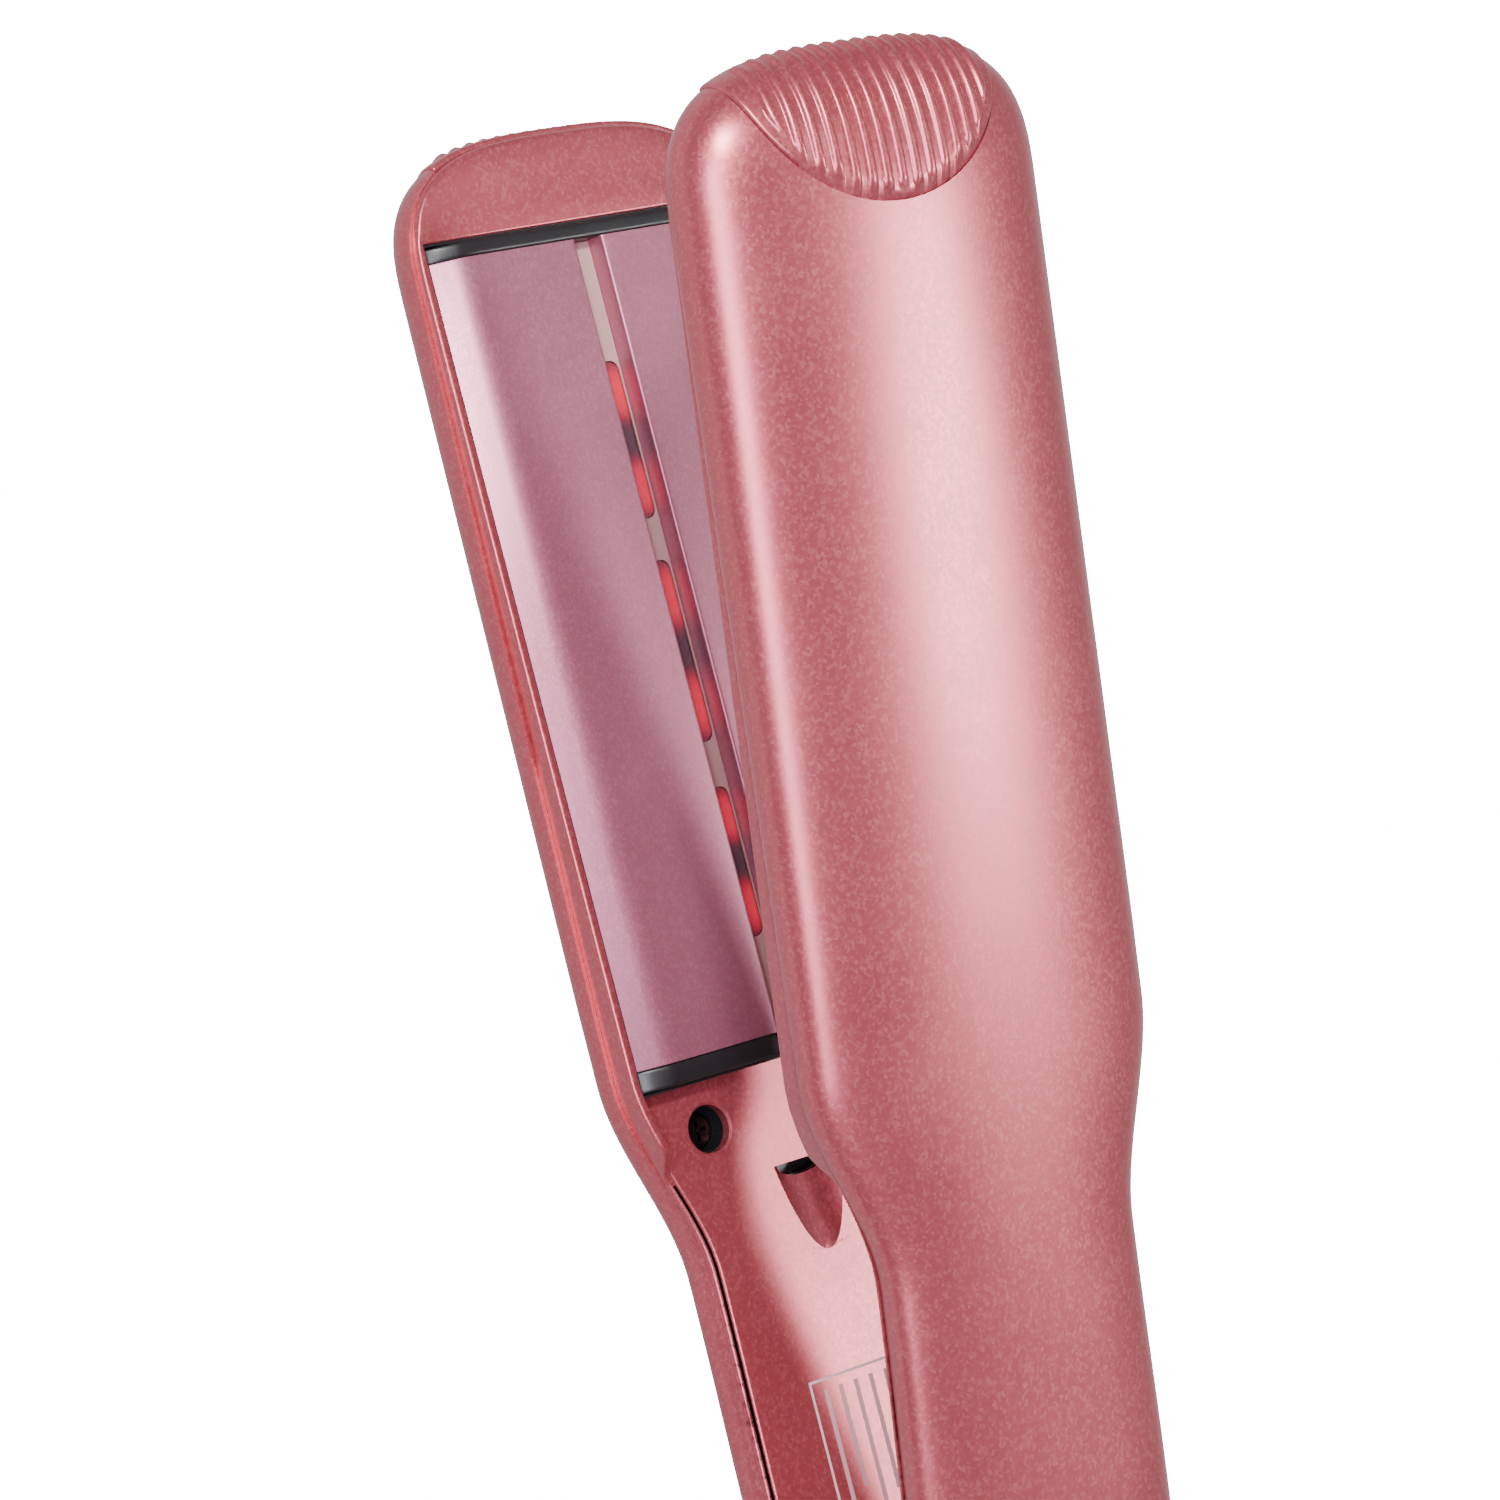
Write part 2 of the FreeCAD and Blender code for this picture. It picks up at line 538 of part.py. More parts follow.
def button(x, radius):
    """Button cap with a soft edge and a flange that keeps it under the deck."""
    cap = cylinder_z(x, 0, BUTTON_FLANGE_Z, DECK_TOP_Z + BUTTON_PROUD, radius)
    cap = cap.makeFillet(0.4, [e for e in cap.Edges if e.BoundBox.ZMin > DECK_TOP_Z])
    flange = cylinder_z(x, 0, BUTTON_FLANGE_Z, BUTTON_FLANGE_Z + 0.7, radius + 0.6)
    return cap.fuse(flange)


def tact_switches():
    """Three small switches on the board, one under each button."""
    top = BUTTON_FLANGE_Z - BUTTON_TRAVEL - 0.05
    return Part.makeCompound([box(x - 2.2, x + 2.2, -2.2, 2.2, BOARD_TOP, top)
                              for x, _ in BUTTONS.values()])


def control_cutouts():
    """Openings in the handle deck for the display lens and the buttons."""
    cuts = [rounded_slot(DISPLAY_REAR, DISPLAY_FRONT, DISPLAY_HALF, -7, 0, 2.0)]
    cuts += [cylinder_z(x, 0, -7, 0, radius + 0.1) for x, radius in BUTTONS.values()]
    return fuse(cuts)


# ---------------------------------------------------------------- hinge and cord inlet
def hinge_pin():
    return cylinder_y(HINGE_X, 0, SWIVEL_RADIUS + 0.4, 17.0, PIN_RADIUS)


def hinge_cap():
    """Domed trim disc whose stub closes the pin's bore."""
    side = half_width(HINGE_X)
    disc = cylinder_y(HINGE_X, 0, side, side + 0.9, CAP_RADIUS)
    disc = disc.makeFillet(0.6, [e for e in disc.Edges if e.BoundBox.YMin > side + 0.5])
    return disc.fuse(cylinder_y(HINGE_X, 0, 17.0, side + 0.1, PIN_RADIUS))


SWIVEL_FRONT = -173.0
CLIP_REAR, CLIP_FRONT = -174.6, -173.8


def cord_swivel():
    """Turning inlet bush: collar outside, shaft through the middle knuckle, clip groove inside."""
    back = HINGE_X - SHELL_DEPTH - 0.35
    collar = cylinder_x(0, 0, back - SWIVEL_PROUD, back, 7.2)
    collar = collar.makeFillet(1.6, [e for e in collar.Edges if e.BoundBox.XMax < back - 1])
    shaft = cylinder_x(0, 0, back - 0.1, SWIVEL_FRONT, SWIVEL_RADIUS)
    ring = cylinder_x(0, 0, CLIP_REAR, CLIP_FRONT, SWIVEL_RADIUS + 1)
    groove = ring.cut(cylinder_x(0, 0, CLIP_REAR - 1, CLIP_FRONT + 1, SWIVEL_RADIUS - 0.6))
    bore = cylinder_x(0, 0, back - 20, SWIVEL_FRONT + 1, SWIVEL_BORE)
    return collar.fuse(shaft).cut(groove).cut(bore)


def swivel_clip():
    """Snap ring that keeps the swivel in."""
    ring = cylinder_x(0, 0, CLIP_REAR + 0.05, CLIP_FRONT - 0.05, 6.8)
    hole = cylinder_x(0, 0, CLIP_REAR - 1, CLIP_FRONT + 1, SWIVEL_RADIUS - 0.6)
    return ring.cut(hole).cut(box(CLIP_REAR - 1, CLIP_FRONT + 1, -1.2, 1.2, 0, 9))


def opening_spring():
    """Coil spring that pushes the arms apart, just ahead of the hinge."""
    slope = math.tan(math.radians(OPEN_ANGLE))
    reach = SPRING_X - HINGE_X - SPRING_RADIUS - SPRING_WIRE
    seat = DECK_TOP_Z + SPRING_WIRE
    top = -DECK_TOP_Z / math.cos(math.radians(OPEN_ANGLE)) + reach * slope - SPRING_WIRE - 0.1
    helix = Part.makeHelix((top - seat) / SPRING_TURNS, top - seat, SPRING_RADIUS)
    start = Part.Wire(Part.makeCircle(SPRING_WIRE, V(SPRING_RADIUS, 0, 0), AXIS_Y))
    coil = Part.Wire(helix.Edges).makePipeShell([start], True, True)
    coil.translate(V(SPRING_X, 0, seat))
    return coil


# ---------------------------------------------------------------- assembly
def lower(name, shape):
    parts["lower_" + name] = shape


def upper(name, shape):
    """Mirror a lower-arm shape into the closed upper arm, then open it to the rest pose."""
    turned = shape.mirror(V(0, 0, 0), AXIS_Z)
    turned.rotate(V(HINGE_X, 0, 0), AXIS_Y, -OPEN_ANGLE)
    parts["upper_" + name] = turned


lower_shell = shell([(EAR_INNER, 30), (-0.4, CHEEK_INNER - KNUCKLE_GAP)],
                    [(CHEEK_INNER - KNUCKLE_GAP, EAR_INNER)], PIN_RADIUS)
lower_shell = lower_shell.cut(cylinder_x(0, 0, -210, -170, SWIVEL_RADIUS + PIN_CLEARANCE))
board_posts = [screw_post(x, 0, BOARD_TOP - 1.2, 1.8) for x in (-122.0, -151.0)]
bed = grip_bed()
lower("shell", lower_shell.multiFuse(board_posts).cut(bed))
upper_shell = shell([(CHEEK_INNER, EAR_INNER - KNUCKLE_GAP)],
                    [(EAR_INNER - KNUCKLE_GAP, 30), (-0.1, CHEEK_INNER)],
                    PIN_RADIUS + PIN_CLEARANCE)
swivel_room = cylinder_x(0, 0, HINGE_X - 20, CAVITY_END + 5, SWIVEL_ROOM)
upper("shell", upper_shell.cut(swivel_room).cut(bed))

panel = inner_panel()
lower("panel", panel.cut(control_cutouts()))
upper("panel", panel)

grip = grip_pad()
for place in (lower, upper):
    place("grip_pad", grip)
    place("heater_plate", heater_plate())
    place("light_windows", light_windows())
    place("tip_strip", end_strip(PLATE_LENGTH / 2, PLATE_LENGTH / 2 + TIP_STRIP))
    place("waist_strip", end_strip(-PLATE_LENGTH / 2 - WAIST_STRIP, -PLATE_LENGTH / 2))
    place("ceramic_heaters", ceramic_heaters())
    place("heater_clamp", heater_clamp())
    place("thermistor", thermistor())
    place("thermal_fuse", thermal_fuse())
    place("plate_carrier", plate_carrier())
    place("plate_cushions", plate_cushions())
    place("led_board", led_board())
    place("leds", leds())
    place("panel_screws", panel_screws())
lower("leads", leads(BOARD_FRONT + 0.5))
upper("leads", leads(-164.0))

parts["main_board"] = main_board()
parts["tact_switches"] = tact_switches()
parts["display_module"] = box(DISPLAY_REAR + 1, DISPLAY_FRONT - 1, -4.6, 4.6, BOARD_TOP, -5.8)
parts["display_lens"] = rounded_slot(DISPLAY_REAR + 0.1, DISPLAY_FRONT - 0.1, DISPLAY_HALF - 0.1,
                                     -5.6, DECK_TOP_Z + 0.1, 1.9)
for name, (x, radius) in BUTTONS.items():
    parts[name] = button(x, radius)
for side, shape in zip(("left", "right"), both_sides(hinge_pin())):
    parts["hinge_pin_" + side] = shape
for side, shape in zip(("left", "right"), both_sides(hinge_cap())):
    parts["hinge_cap_" + side] = shape
parts["cord_swivel"] = cord_swivel()
parts["swivel_clip"] = swivel_clip()
parts["opening_spring"] = opening_spring()

# ---------------------------------------------------------------- place the iron and write it
low_point = parts["lower_grip_pad"].optimalBoundingBox(False, False)
x_front, x_rear = low_point.XMax, HINGE_X - SHELL_DEPTH - 0.35 - SWIVEL_PROUD
shift = V(-(x_front + x_rear) / 2, 0, -low_point.ZMin)
os.makedirs("parts", exist_ok=True)
for name, shape in parts.items():
    shape.translate(shift)
    shape.exportStep("parts/" + name + ".step")
    print(f"{name:24s} solids {len(shape.Solids)} valid {shape.isValid()} volume {shape.Volume:9.1f}")
print("shift", [round(v, 4) for v in shift])
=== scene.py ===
# %% [markdown]
# # A hair straightener with two hinged arms
#
# The real iron is two long plastic mouldings, hinged at the cord end and sprung open. Each arm
# carries a flat heated plate with a lit channel down its middle. Everything seen in use is paint,
# coated metal and a few black mouldings, so the lesson is about two things: smooth shells worked
# out by formula, and a metallic paint that holds up close to the camera.
#
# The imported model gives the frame. It fixes where each arm is, where the hinge is and how far the
# arms stand open. The script reads those and works every new surface out from them.

# %% Load the frame
import json
import math

import bmesh
import bpy
import numpy as np
from mathutils import Euler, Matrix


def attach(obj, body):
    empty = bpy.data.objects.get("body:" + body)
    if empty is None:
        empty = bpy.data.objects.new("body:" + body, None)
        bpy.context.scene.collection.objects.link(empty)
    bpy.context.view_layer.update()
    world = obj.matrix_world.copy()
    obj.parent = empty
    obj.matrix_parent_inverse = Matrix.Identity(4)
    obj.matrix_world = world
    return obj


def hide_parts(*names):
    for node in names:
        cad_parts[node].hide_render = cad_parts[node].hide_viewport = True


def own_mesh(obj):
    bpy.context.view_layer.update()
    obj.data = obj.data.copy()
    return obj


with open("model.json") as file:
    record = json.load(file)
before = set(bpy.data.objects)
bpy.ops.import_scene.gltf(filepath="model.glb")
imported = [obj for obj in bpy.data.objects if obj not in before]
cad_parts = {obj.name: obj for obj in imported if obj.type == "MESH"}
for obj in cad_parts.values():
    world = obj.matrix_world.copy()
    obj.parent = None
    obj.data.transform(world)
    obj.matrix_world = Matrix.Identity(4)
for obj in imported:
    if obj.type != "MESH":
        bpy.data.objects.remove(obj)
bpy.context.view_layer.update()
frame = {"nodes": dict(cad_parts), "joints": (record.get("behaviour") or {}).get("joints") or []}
MM = 0.001
print("nodes in the frame:", len(frame["nodes"]))

# %% [markdown]
# ## One arm, drawn once
#
# The two arms are the same mouldings facing each other. So each piece is worked out once for the
# lower arm, in millimetres, with x = 0 at the middle of the plates and z = 0 on the plane where the
# plates meet. `place` then puts it in the frame: the upper arm is the mirror image in z = 0, turned
# open about the hinge. Drawing each arm where it stands would double the work and let them differ.

# %% Where the hinge is and how far the arms are open
HINGE_X = -188.0
hinge = [j for j in frame["joints"] if j["name"] == "arm_hinge"][0]
SHIFT = np.array(hinge["pos_m"]) / MM - np.array([HINGE_X, 0.0, 0.0])
OPEN = math.radians(max(abs(v) for v in hinge["range_deg"]))
ARMS = ("lower", "upper")
print("arms open", round(math.degrees(OPEN), 2), "degrees; shift", SHIFT.round(3))


def place(points, arm):
    """Millimetres on one arm to metres in the frame: mirror, turn about the hinge, then shift."""
    p = np.array(points, float)
    if arm == "upper":
        along, up = p[..., 0] - HINGE_X, -p[..., 2]
        p[..., 0] = along * math.cos(OPEN) - up * math.sin(OPEN) + HINGE_X
        p[..., 2] = along * math.sin(OPEN) + up * math.cos(OPEN)
    return (p + SHIFT) * MM


# %% [markdown]
# ## The shape of a moulding as formulas
#
# A moulded arm has few driving sizes: a wide head, a waist, a handle that flares a little, a
# parting line that dips towards the handle, and a round back. Each is a smooth function of x, so a
# grid of any fineness can be taken from it and two neighbouring pieces always agree.

# %% Driving sizes, in millimetres
HEAD_HALF, HANDLE_HALF, HANDLE_FLARE = 24.7, 18.1, 0.5
SHELL_DEPTH, SHELL_WALL = 12.4, 1.8
BACK_POWER, NOSE_POWER = 2.3, 3.07
NOSE_START, NOSE_LENGTH = 45.0, 18.0
WAIST_START, WAIST_END = -49.5, -75.0
PLATE_LENGTH, PLATE_WIDTH, PLATE_FACE = 98.0, 44.5, -0.15
PLATE_THICKNESS, CHANNEL_HALF, CHANNEL_DEPTH, CHANNEL_WALL = 2.5, 1.9, 3.0, 1.0
TIP_STRIP, WAIST_STRIP, PLATE_GAP = 2.0, 2.8, 0.35
PANEL_TOP, DECK_TOP = -0.8, -4.0
DECK_END = -175.5


def smoothstep(t):
    """0 below 0, 1 above 1, and 3t^2 - 2t^3 between."""
    t = np.clip(t, 0.0, 1.0)
    return t * t * (3 - 2 * t)


def waist_share(x):
    """How far the waist has narrowed at x: 0 at the head, 1 at the handle."""
    return smoothstep((WAIST_START - x) / (WAIST_START - WAIST_END))


def half_width(x):
    """Head width, less the waist, plus a slight flare over the next 35 mm."""
    return HEAD_HALF - (HEAD_HALF - HANDLE_HALF) * waist_share(x) + HANDLE_FLARE * smoothstep(
        (WAIST_END - x) / 35.0)


def rim_depth(x):
    """Depth of the parting line: straight along the head, eased into the handle."""
    head = np.maximum(2.1 + 2.2 * (44.0 - x) / 85.0, 1.7)
    return np.where(x >= -41.0, head, 4.3 + 0.5 * smoothstep((-41.0 - x) / 35.0))


def belly_depth(x):
    """Depth of the widest line of the shell."""
    return rim_depth(x) + 1.6 + 1.2 * waist_share(x)


def back_depth(x, share):
    """Depth of the back where share is 0 on the spine and 1 on the widest line: a superellipse."""
    belly = belly_depth(x)
    bulge = (1 - np.clip(share, 0, 1) ** BACK_POWER) ** (1 / BACK_POWER)
    return belly + (SHELL_DEPTH - belly) * bulge


print("half width at head, waist, handle:", half_width(np.array([0.0, -62.0, -120.0])).round(2))

# %% [markdown]
# ## From arrays to a mesh
#
# A surface here is a grid of points, so its faces follow from the grid: each cell is one quad.
# `solid` takes several grids that share edges, joins the doubled points and turns the faces
# outward. Typing faces by hand would be longer and easy to get inside out.

# %% Grids to solids
def link(name, mesh):
    """A new object at the origin, unturned, with its place in its mesh."""
    piece = bpy.data.objects.new(name, mesh)
    bpy.context.scene.collection.objects.link(piece)
    return piece


MERGE, MEND_MERGE = 0.002, 0.001


def solid(name, grids, arm="lower"):
    """Grids of points in arm millimetres, joined where they meet, with their faces outward."""
    points, faces, used = [], [], 0
    for grid in grids:
        grid = np.asarray(grid, float)
        rows, columns = grid.shape[:2]
        index = np.arange(rows * columns).reshape(rows, columns) + used
        cells = np.stack([index[:-1, :-1], index[1:, :-1], index[1:, 1:], index[:-1, 1:]], axis=-1)
        points.append(grid.reshape(-1, 3))
        faces.append(cells.reshape(-1, 4))
        used += rows * columns
    points = place(np.concatenate(points), arm)
    faces = np.concatenate(faces).astype(np.int32)
    mesh = bpy.data.meshes.new(name)
    mesh.vertices.add(len(points))
    mesh.vertices.foreach_set("co", points.astype(np.float32).ravel())
    mesh.loops.add(faces.size)
    mesh.loops.foreach_set("vertex_index", faces.ravel())
    mesh.polygons.add(len(faces))
    mesh.polygons.foreach_set("loop_start", np.arange(0, faces.size, 4, dtype=np.int32))
    mesh.update(calc_edges=True)
    work = bmesh.new()
    work.from_mesh(mesh)
    bmesh.ops.remove_doubles(work, verts=work.verts, dist=MERGE * MM)
    bmesh.ops.dissolve_degenerate(work, edges=work.edges, dist=MERGE * MM / 4)
    bmesh.ops.recalc_face_normals(work, faces=work.faces)
    work.to_mesh(mesh)
    work.free()
    return link(name, mesh)


def open_edges(piece):
    """How many edges don't have exactly two faces; 0 means the solid is closed."""
    work = bmesh.new()
    work.from_mesh(piece.data)
    count = sum(1 for edge in work.edges if len(edge.link_faces) != 2)
    work.free()
    return count


def finish_piece(piece, body, material, nodes=(), bevel=0.0, angle=35):
    """Material, smooth shading with real creases kept, a small bevel, and what it rides on."""
    piece.data.materials.clear()
    piece.data.materials.append(material)
    piece.data.shade_smooth()
    piece.data.set_sharp_from_angle(angle=math.radians(angle))
    if bevel:
        soften = piece.modifiers.new("soft_edges", "BEVEL")
        soften.width = bevel * MM
        soften.segments = 2
        soften.limit_method = "ANGLE"
        soften.angle_limit = math.radians(angle)
        soften.harden_normals = True
    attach(piece, body)
    if nodes:
        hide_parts(*nodes)
    print(f"{piece.name:24s} faces {len(piece.data.polygons):6d} open edges {open_edges(piece)}")


def mend(piece):
    """Join doubled points, drop slivers and close any loop left open, with the faces outward."""
    work = bmesh.new()
    work.from_mesh(piece.data)
    bmesh.ops.remove_doubles(work, verts=work.verts, dist=MEND_MERGE * MM)
    bmesh.ops.dissolve_degenerate(work, edges=work.edges, dist=MEND_MERGE * MM)
    rim = [edge for edge in work.edges if len(edge.link_faces) == 1]
    if rim:
        bmesh.ops.holes_fill(work, edges=rim, sides=0)
    bmesh.ops.recalc_face_normals(work, faces=work.faces)
    work.to_mesh(piece.data)
    work.free()
    return piece


def combine(piece, others, operation="DIFFERENCE"):
    """Boolean steps, applied one after another, so that later steps see the finished mesh."""
    for other in others:
        step = piece.modifiers.new("step", "BOOLEAN")
        step.operation = operation
        step.object = other
        step.solver = "EXACT"
        bpy.context.view_layer.update()
        mesh = bpy.data.meshes.new_from_object(
            piece.evaluated_get(bpy.context.evaluated_depsgraph_get()))
        piece.modifiers.clear()
        old = piece.data
        piece.data = mesh
        bpy.data.meshes.remove(old)
        mesh.name = piece.name
    for other in others:
        bpy.data.meshes.remove(other.data)
    return mend(piece)


# %% [markdown]
# ## Round things
#
# Pins, caps, buttons, screws and the cord bush are turned or moulded round, so each is a profile of
# (along, radius) swung round an axis. `softened` puts a small arc at each corner of the profile,
# because an edge with no radius catches no light and looks drawn rather than made.

# %% Profiles and turned pieces
def softened(profile, radius, steps=4):
    """The outline with each inner corner swapped for a quadratic curve of the given size."""
    points = np.array(profile, float)
    out = [points[:1]]
    for before, corner, after in zip(points[:-2], points[1:-1], points[2:]):
        size = min(radius, 0.45 * np.linalg.norm(before - corner),
                   0.45 * np.linalg.norm(after - corner))
        start = corner + (before - corner) / np.linalg.norm(before - corner) * size
        end = corner + (after - corner) / np.linalg.norm(after - corner) * size
        t = np.linspace(0, 1, steps + 1)[:, None]
        out.append((1 - t) ** 2 * start + 2 * t * (1 - t) * corner + t * t * end)
    out.append(points[-1:])
    return np.concatenate(out)


AXES = {"x": (0, 1, 2), "y": (1, 2, 0), "z": (2, 0, 1)}


def turned(profile, centre, axis="z", around=48):
    """Profile of (along, radius) swung round an axis through centre, in arm millimetres."""
    profile = np.array(profile, float)
    angle = np.linspace(0, 2 * math.pi, around + 1)
    along, first, second = AXES[axis]
    grid = np.zeros((len(profile), around + 1, 3))
    grid[..., along] = profile[:, :1]
    grid[..., first] = profile[:, 1:] * np.cos(angle)
    grid[..., second] = profile[:, 1:] * np.sin(angle)
    return grid + np.array(centre, float)


def peg(radius, low, high, centre=(0, 0, 0), axis="z", around=48):
    """A plain closed cylinder, used as a cutter."""
    return turned([(low, 0), (low, radius), (high, radius), (high, 0)], centre, axis, around)


def slab(x0, x1, y0, y1, z0, z1):
    """The six sides of a box, as grids."""
    sides = []
    for a, b, c in ((0, 1, 2), (1, 2, 0), (2, 0, 1)):
        low, high = (x0, y0, z0), (x1, y1, z1)
        for level in (low[c], high[c]):
            side = np.zeros((2, 2, 3))
            side[..., a] = [[low[a], low[a]], [high[a], high[a]]]
            side[..., b] = [[low[b], high[b]], [low[b], high[b]]]
            side[..., c] = level
            sides.append(side)
    return sides


def fan(ring):
    """A ring joined to its middle: the flat end that closes a grid."""
    return np.stack([ring, np.broadcast_to(ring.mean(0), ring.shape)])


def pill(x0, x1, half, radius):
    """Plan outline of a box with rounded upright corners, as a closed ring of (x, y)."""
    quarter = np.linspace(0, math.pi / 2, 7)
    centres = ((x1 - radius, half - radius), (x0 + radius, half - radius),
               (x0 + radius, radius - half), (x1 - radius, radius - half))
    corners = []
    for turn, (cx, cy) in enumerate(centres):
        angle = quarter + turn * math.pi / 2
        corners.append(np.stack([cx + radius * np.cos(angle), cy + radius * np.sin(angle)], -1))
    return np.concatenate(corners + [corners[0][:1]])


def cross(x, y, arm_length, half):
    """Plan outline of a driver's cross: one quarter turned four times, as a closed (x, y) ring."""
    qx, qy = np.array([(arm_length, half), (half, half), (half, arm_length)], float).T
    turns = [(1, 0), (0, 1), (-1, 0), (0, -1)]
    ring = np.concatenate([np.stack([qx * c - qy * s, qx * s + qy * c], -1) for c, s in turns])
    return np.concatenate([ring, ring[:1]]) + (x, y)


def loft(layers):
    """Rings of (outline, z) carried up or inward in turn, closed at both ends by their middle."""
    rows = []
    for outline, z in layers:
        rows.append(np.concatenate([outline, np.full((len(outline), 1), z)], axis=1))
    first, last = (np.broadcast_to(row[:-1].mean(0), row.shape) for row in (rows[0], rows[-1]))
    return np.stack([first] + rows + [last])


def frame_ring(x0, x1, half, width, z0, z1):
    """A flat rectangular ring of the given width, from z0 up to z1."""
    def corners(inset, z):
        low, high, side = x0 + inset, x1 - inset, half - inset
        return [(high, side, z), (low, side, z), (low, -side, z), (high, -side, z),
                (high, side, z)]
    return np.array([corners(0, z0), corners(0, z1), corners(width, z1), corners(width, z0),
                     corners(0, z0)], float)


print("a softened square corner has", len(softened([(0, 0), (1, 0), (1, 1)], 0.3)), "points")

# %% [markdown]
# ## Finishes
#
# The paint is a metallic rose: fine metal flakes in a tinted coat. Seen close, each flake turns its
# own way, so the highlight breaks into grains of light. A flat pink with low roughness has none of
# that and looks like wet plastic. The grain goes into one node group, and every material that needs
# it places the group with its own values. The shader itself stays in the material.

# %% Node helpers
def socket_group(name, inputs, outputs):
    """An empty node group with named inputs (name, type, value) and outputs (name, type)."""
    group = bpy.data.node_groups.new(name, "ShaderNodeTree")
    for label, kind, value in inputs:
        made = group.interface.new_socket(name=label, in_out="INPUT", socket_type=kind)
        made.default_value = value
    for label, kind in outputs:
        group.interface.new_socket(name=label, in_out="OUTPUT", socket_type=kind)
    return group, group.nodes.new("NodeGroupInput"), group.nodes.new("NodeGroupOutput")


def math_node(group, operation, first, second=None, clamp=False):
    """One Math node; each operand is a socket or a number."""
    node = group.nodes.new("ShaderNodeMath")
    node.operation = operation
    node.use_clamp = clamp
    for slot, value in enumerate((first, second)):
        if value is None:
            continue
        if isinstance(value, (int, float)):
            node.inputs[slot].default_value = value
        else:
            group.links.new(value, node.inputs[slot])
    return node.outputs[0]


def mix_colour(group, factor, low, high):
    """A colour between two sockets or values; a Mix node's colours are its inputs 6 and 7."""
    node = group.nodes.new("ShaderNodeMix")
    node.data_type = "RGBA"
    for socket, value in ((node.inputs["Factor"], factor), (node.inputs[6], low),
                          (node.inputs[7], high)):
        if hasattr(value, "node"):
            group.links.new(value, socket)
        else:
            socket.default_value = value
    return node.outputs[2]


def noise(group, coordinates, scale, detail=2.0, rough=0.5):
    """Noise texture; scale is in grains per metre, because the coordinates are in metres."""
    node = group.nodes.new("ShaderNodeTexNoise")
    node.inputs["Detail"].default_value = detail
    node.inputs["Roughness"].default_value = rough
    if hasattr(scale, "node"):
        group.links.new(scale, node.inputs["Scale"])
    else:
        node.inputs["Scale"].default_value = scale
    group.links.new(coordinates, node.inputs["Vector"])
    return node.outputs["Fac"]


# %% [markdown]
# ### Flakes
#
# Voronoi cells are a good stand-in for flakes: each cell is one flake with its own random value.
# The value lightens or darkens the tint and lifts the surface a little, which tips the light. A
# slow noise over the top gives the faint cloudiness that sprayed metallics have.

# %% The flake group
FLAKE_SHARE, CLOUD_SHARE = 0.26, 0.12
FLAKE_ROUGHNESS, CLOUD_ROUGHNESS = 0.08, 0.12


def flake_group():
    """Colour = tint to sparkle by flake; roughness and height vary by flake and by slow noise."""
    group, given, made = socket_group(
        "metal_flakes",
        [("Tint", "NodeSocketColor", (0.5, 0.2, 0.2, 1)),
         ("Sparkle", "NodeSocketColor", (0.8, 0.5, 0.5, 1)),
         ("Flakes per metre", "NodeSocketFloat", 3200.0),
         ("Roughness", "NodeSocketFloat", 0.4)],
        [("Color", "NodeSocketColor"), ("Roughness", "NodeSocketFloat"),
         ("Height", "NodeSocketFloat")])
    where = group.nodes.new("ShaderNodeTexCoord")
    cells = group.nodes.new("ShaderNodeTexVoronoi")
    cells.inputs["Randomness"].default_value = 1.0
    group.links.new(where.outputs["Object"], cells.inputs["Vector"])
    group.links.new(given.outputs["Flakes per metre"], cells.inputs["Scale"])
    split = group.nodes.new("ShaderNodeSeparateColor")
    group.links.new(cells.outputs["Color"], split.inputs["Color"])
    value = split.outputs[0]
    cloud = noise(group, where.outputs["Object"], 60.0, 3.0)
    bright = math_node(group, "POWER", value, 3.0)
    amount = math_node(group, "MULTIPLY", bright, FLAKE_SHARE)
    cloudy = math_node(group, "MULTIPLY", cloud, CLOUD_SHARE)
    amount = math_node(group, "ADD", amount, cloudy, True)
    colour = mix_colour(group, amount, given.outputs["Tint"], given.outputs["Sparkle"])
    group.links.new(colour, made.inputs["Color"])
    spread = math_node(group, "MULTIPLY", math_node(group, "SUBTRACT", value, 0.5),
                       FLAKE_ROUGHNESS)
    rough = math_node(group, "ADD", given.outputs["Roughness"], spread)
    smear = math_node(group, "MULTIPLY", math_node(group, "SUBTRACT", cloud, 0.5),
                      CLOUD_ROUGHNESS)
    group.links.new(math_node(group, "ADD", rough, smear), made.inputs["Roughness"])
    group.links.new(split.outputs[1], made.inputs["Height"])
    return group


# %% [markdown]
# ### Moulding grain
#
# Plastic, rubber and board are never quite even. A fine noise for the surface of the tool and a
# coarse one for handling are enough, and the same group serves metal with other values.

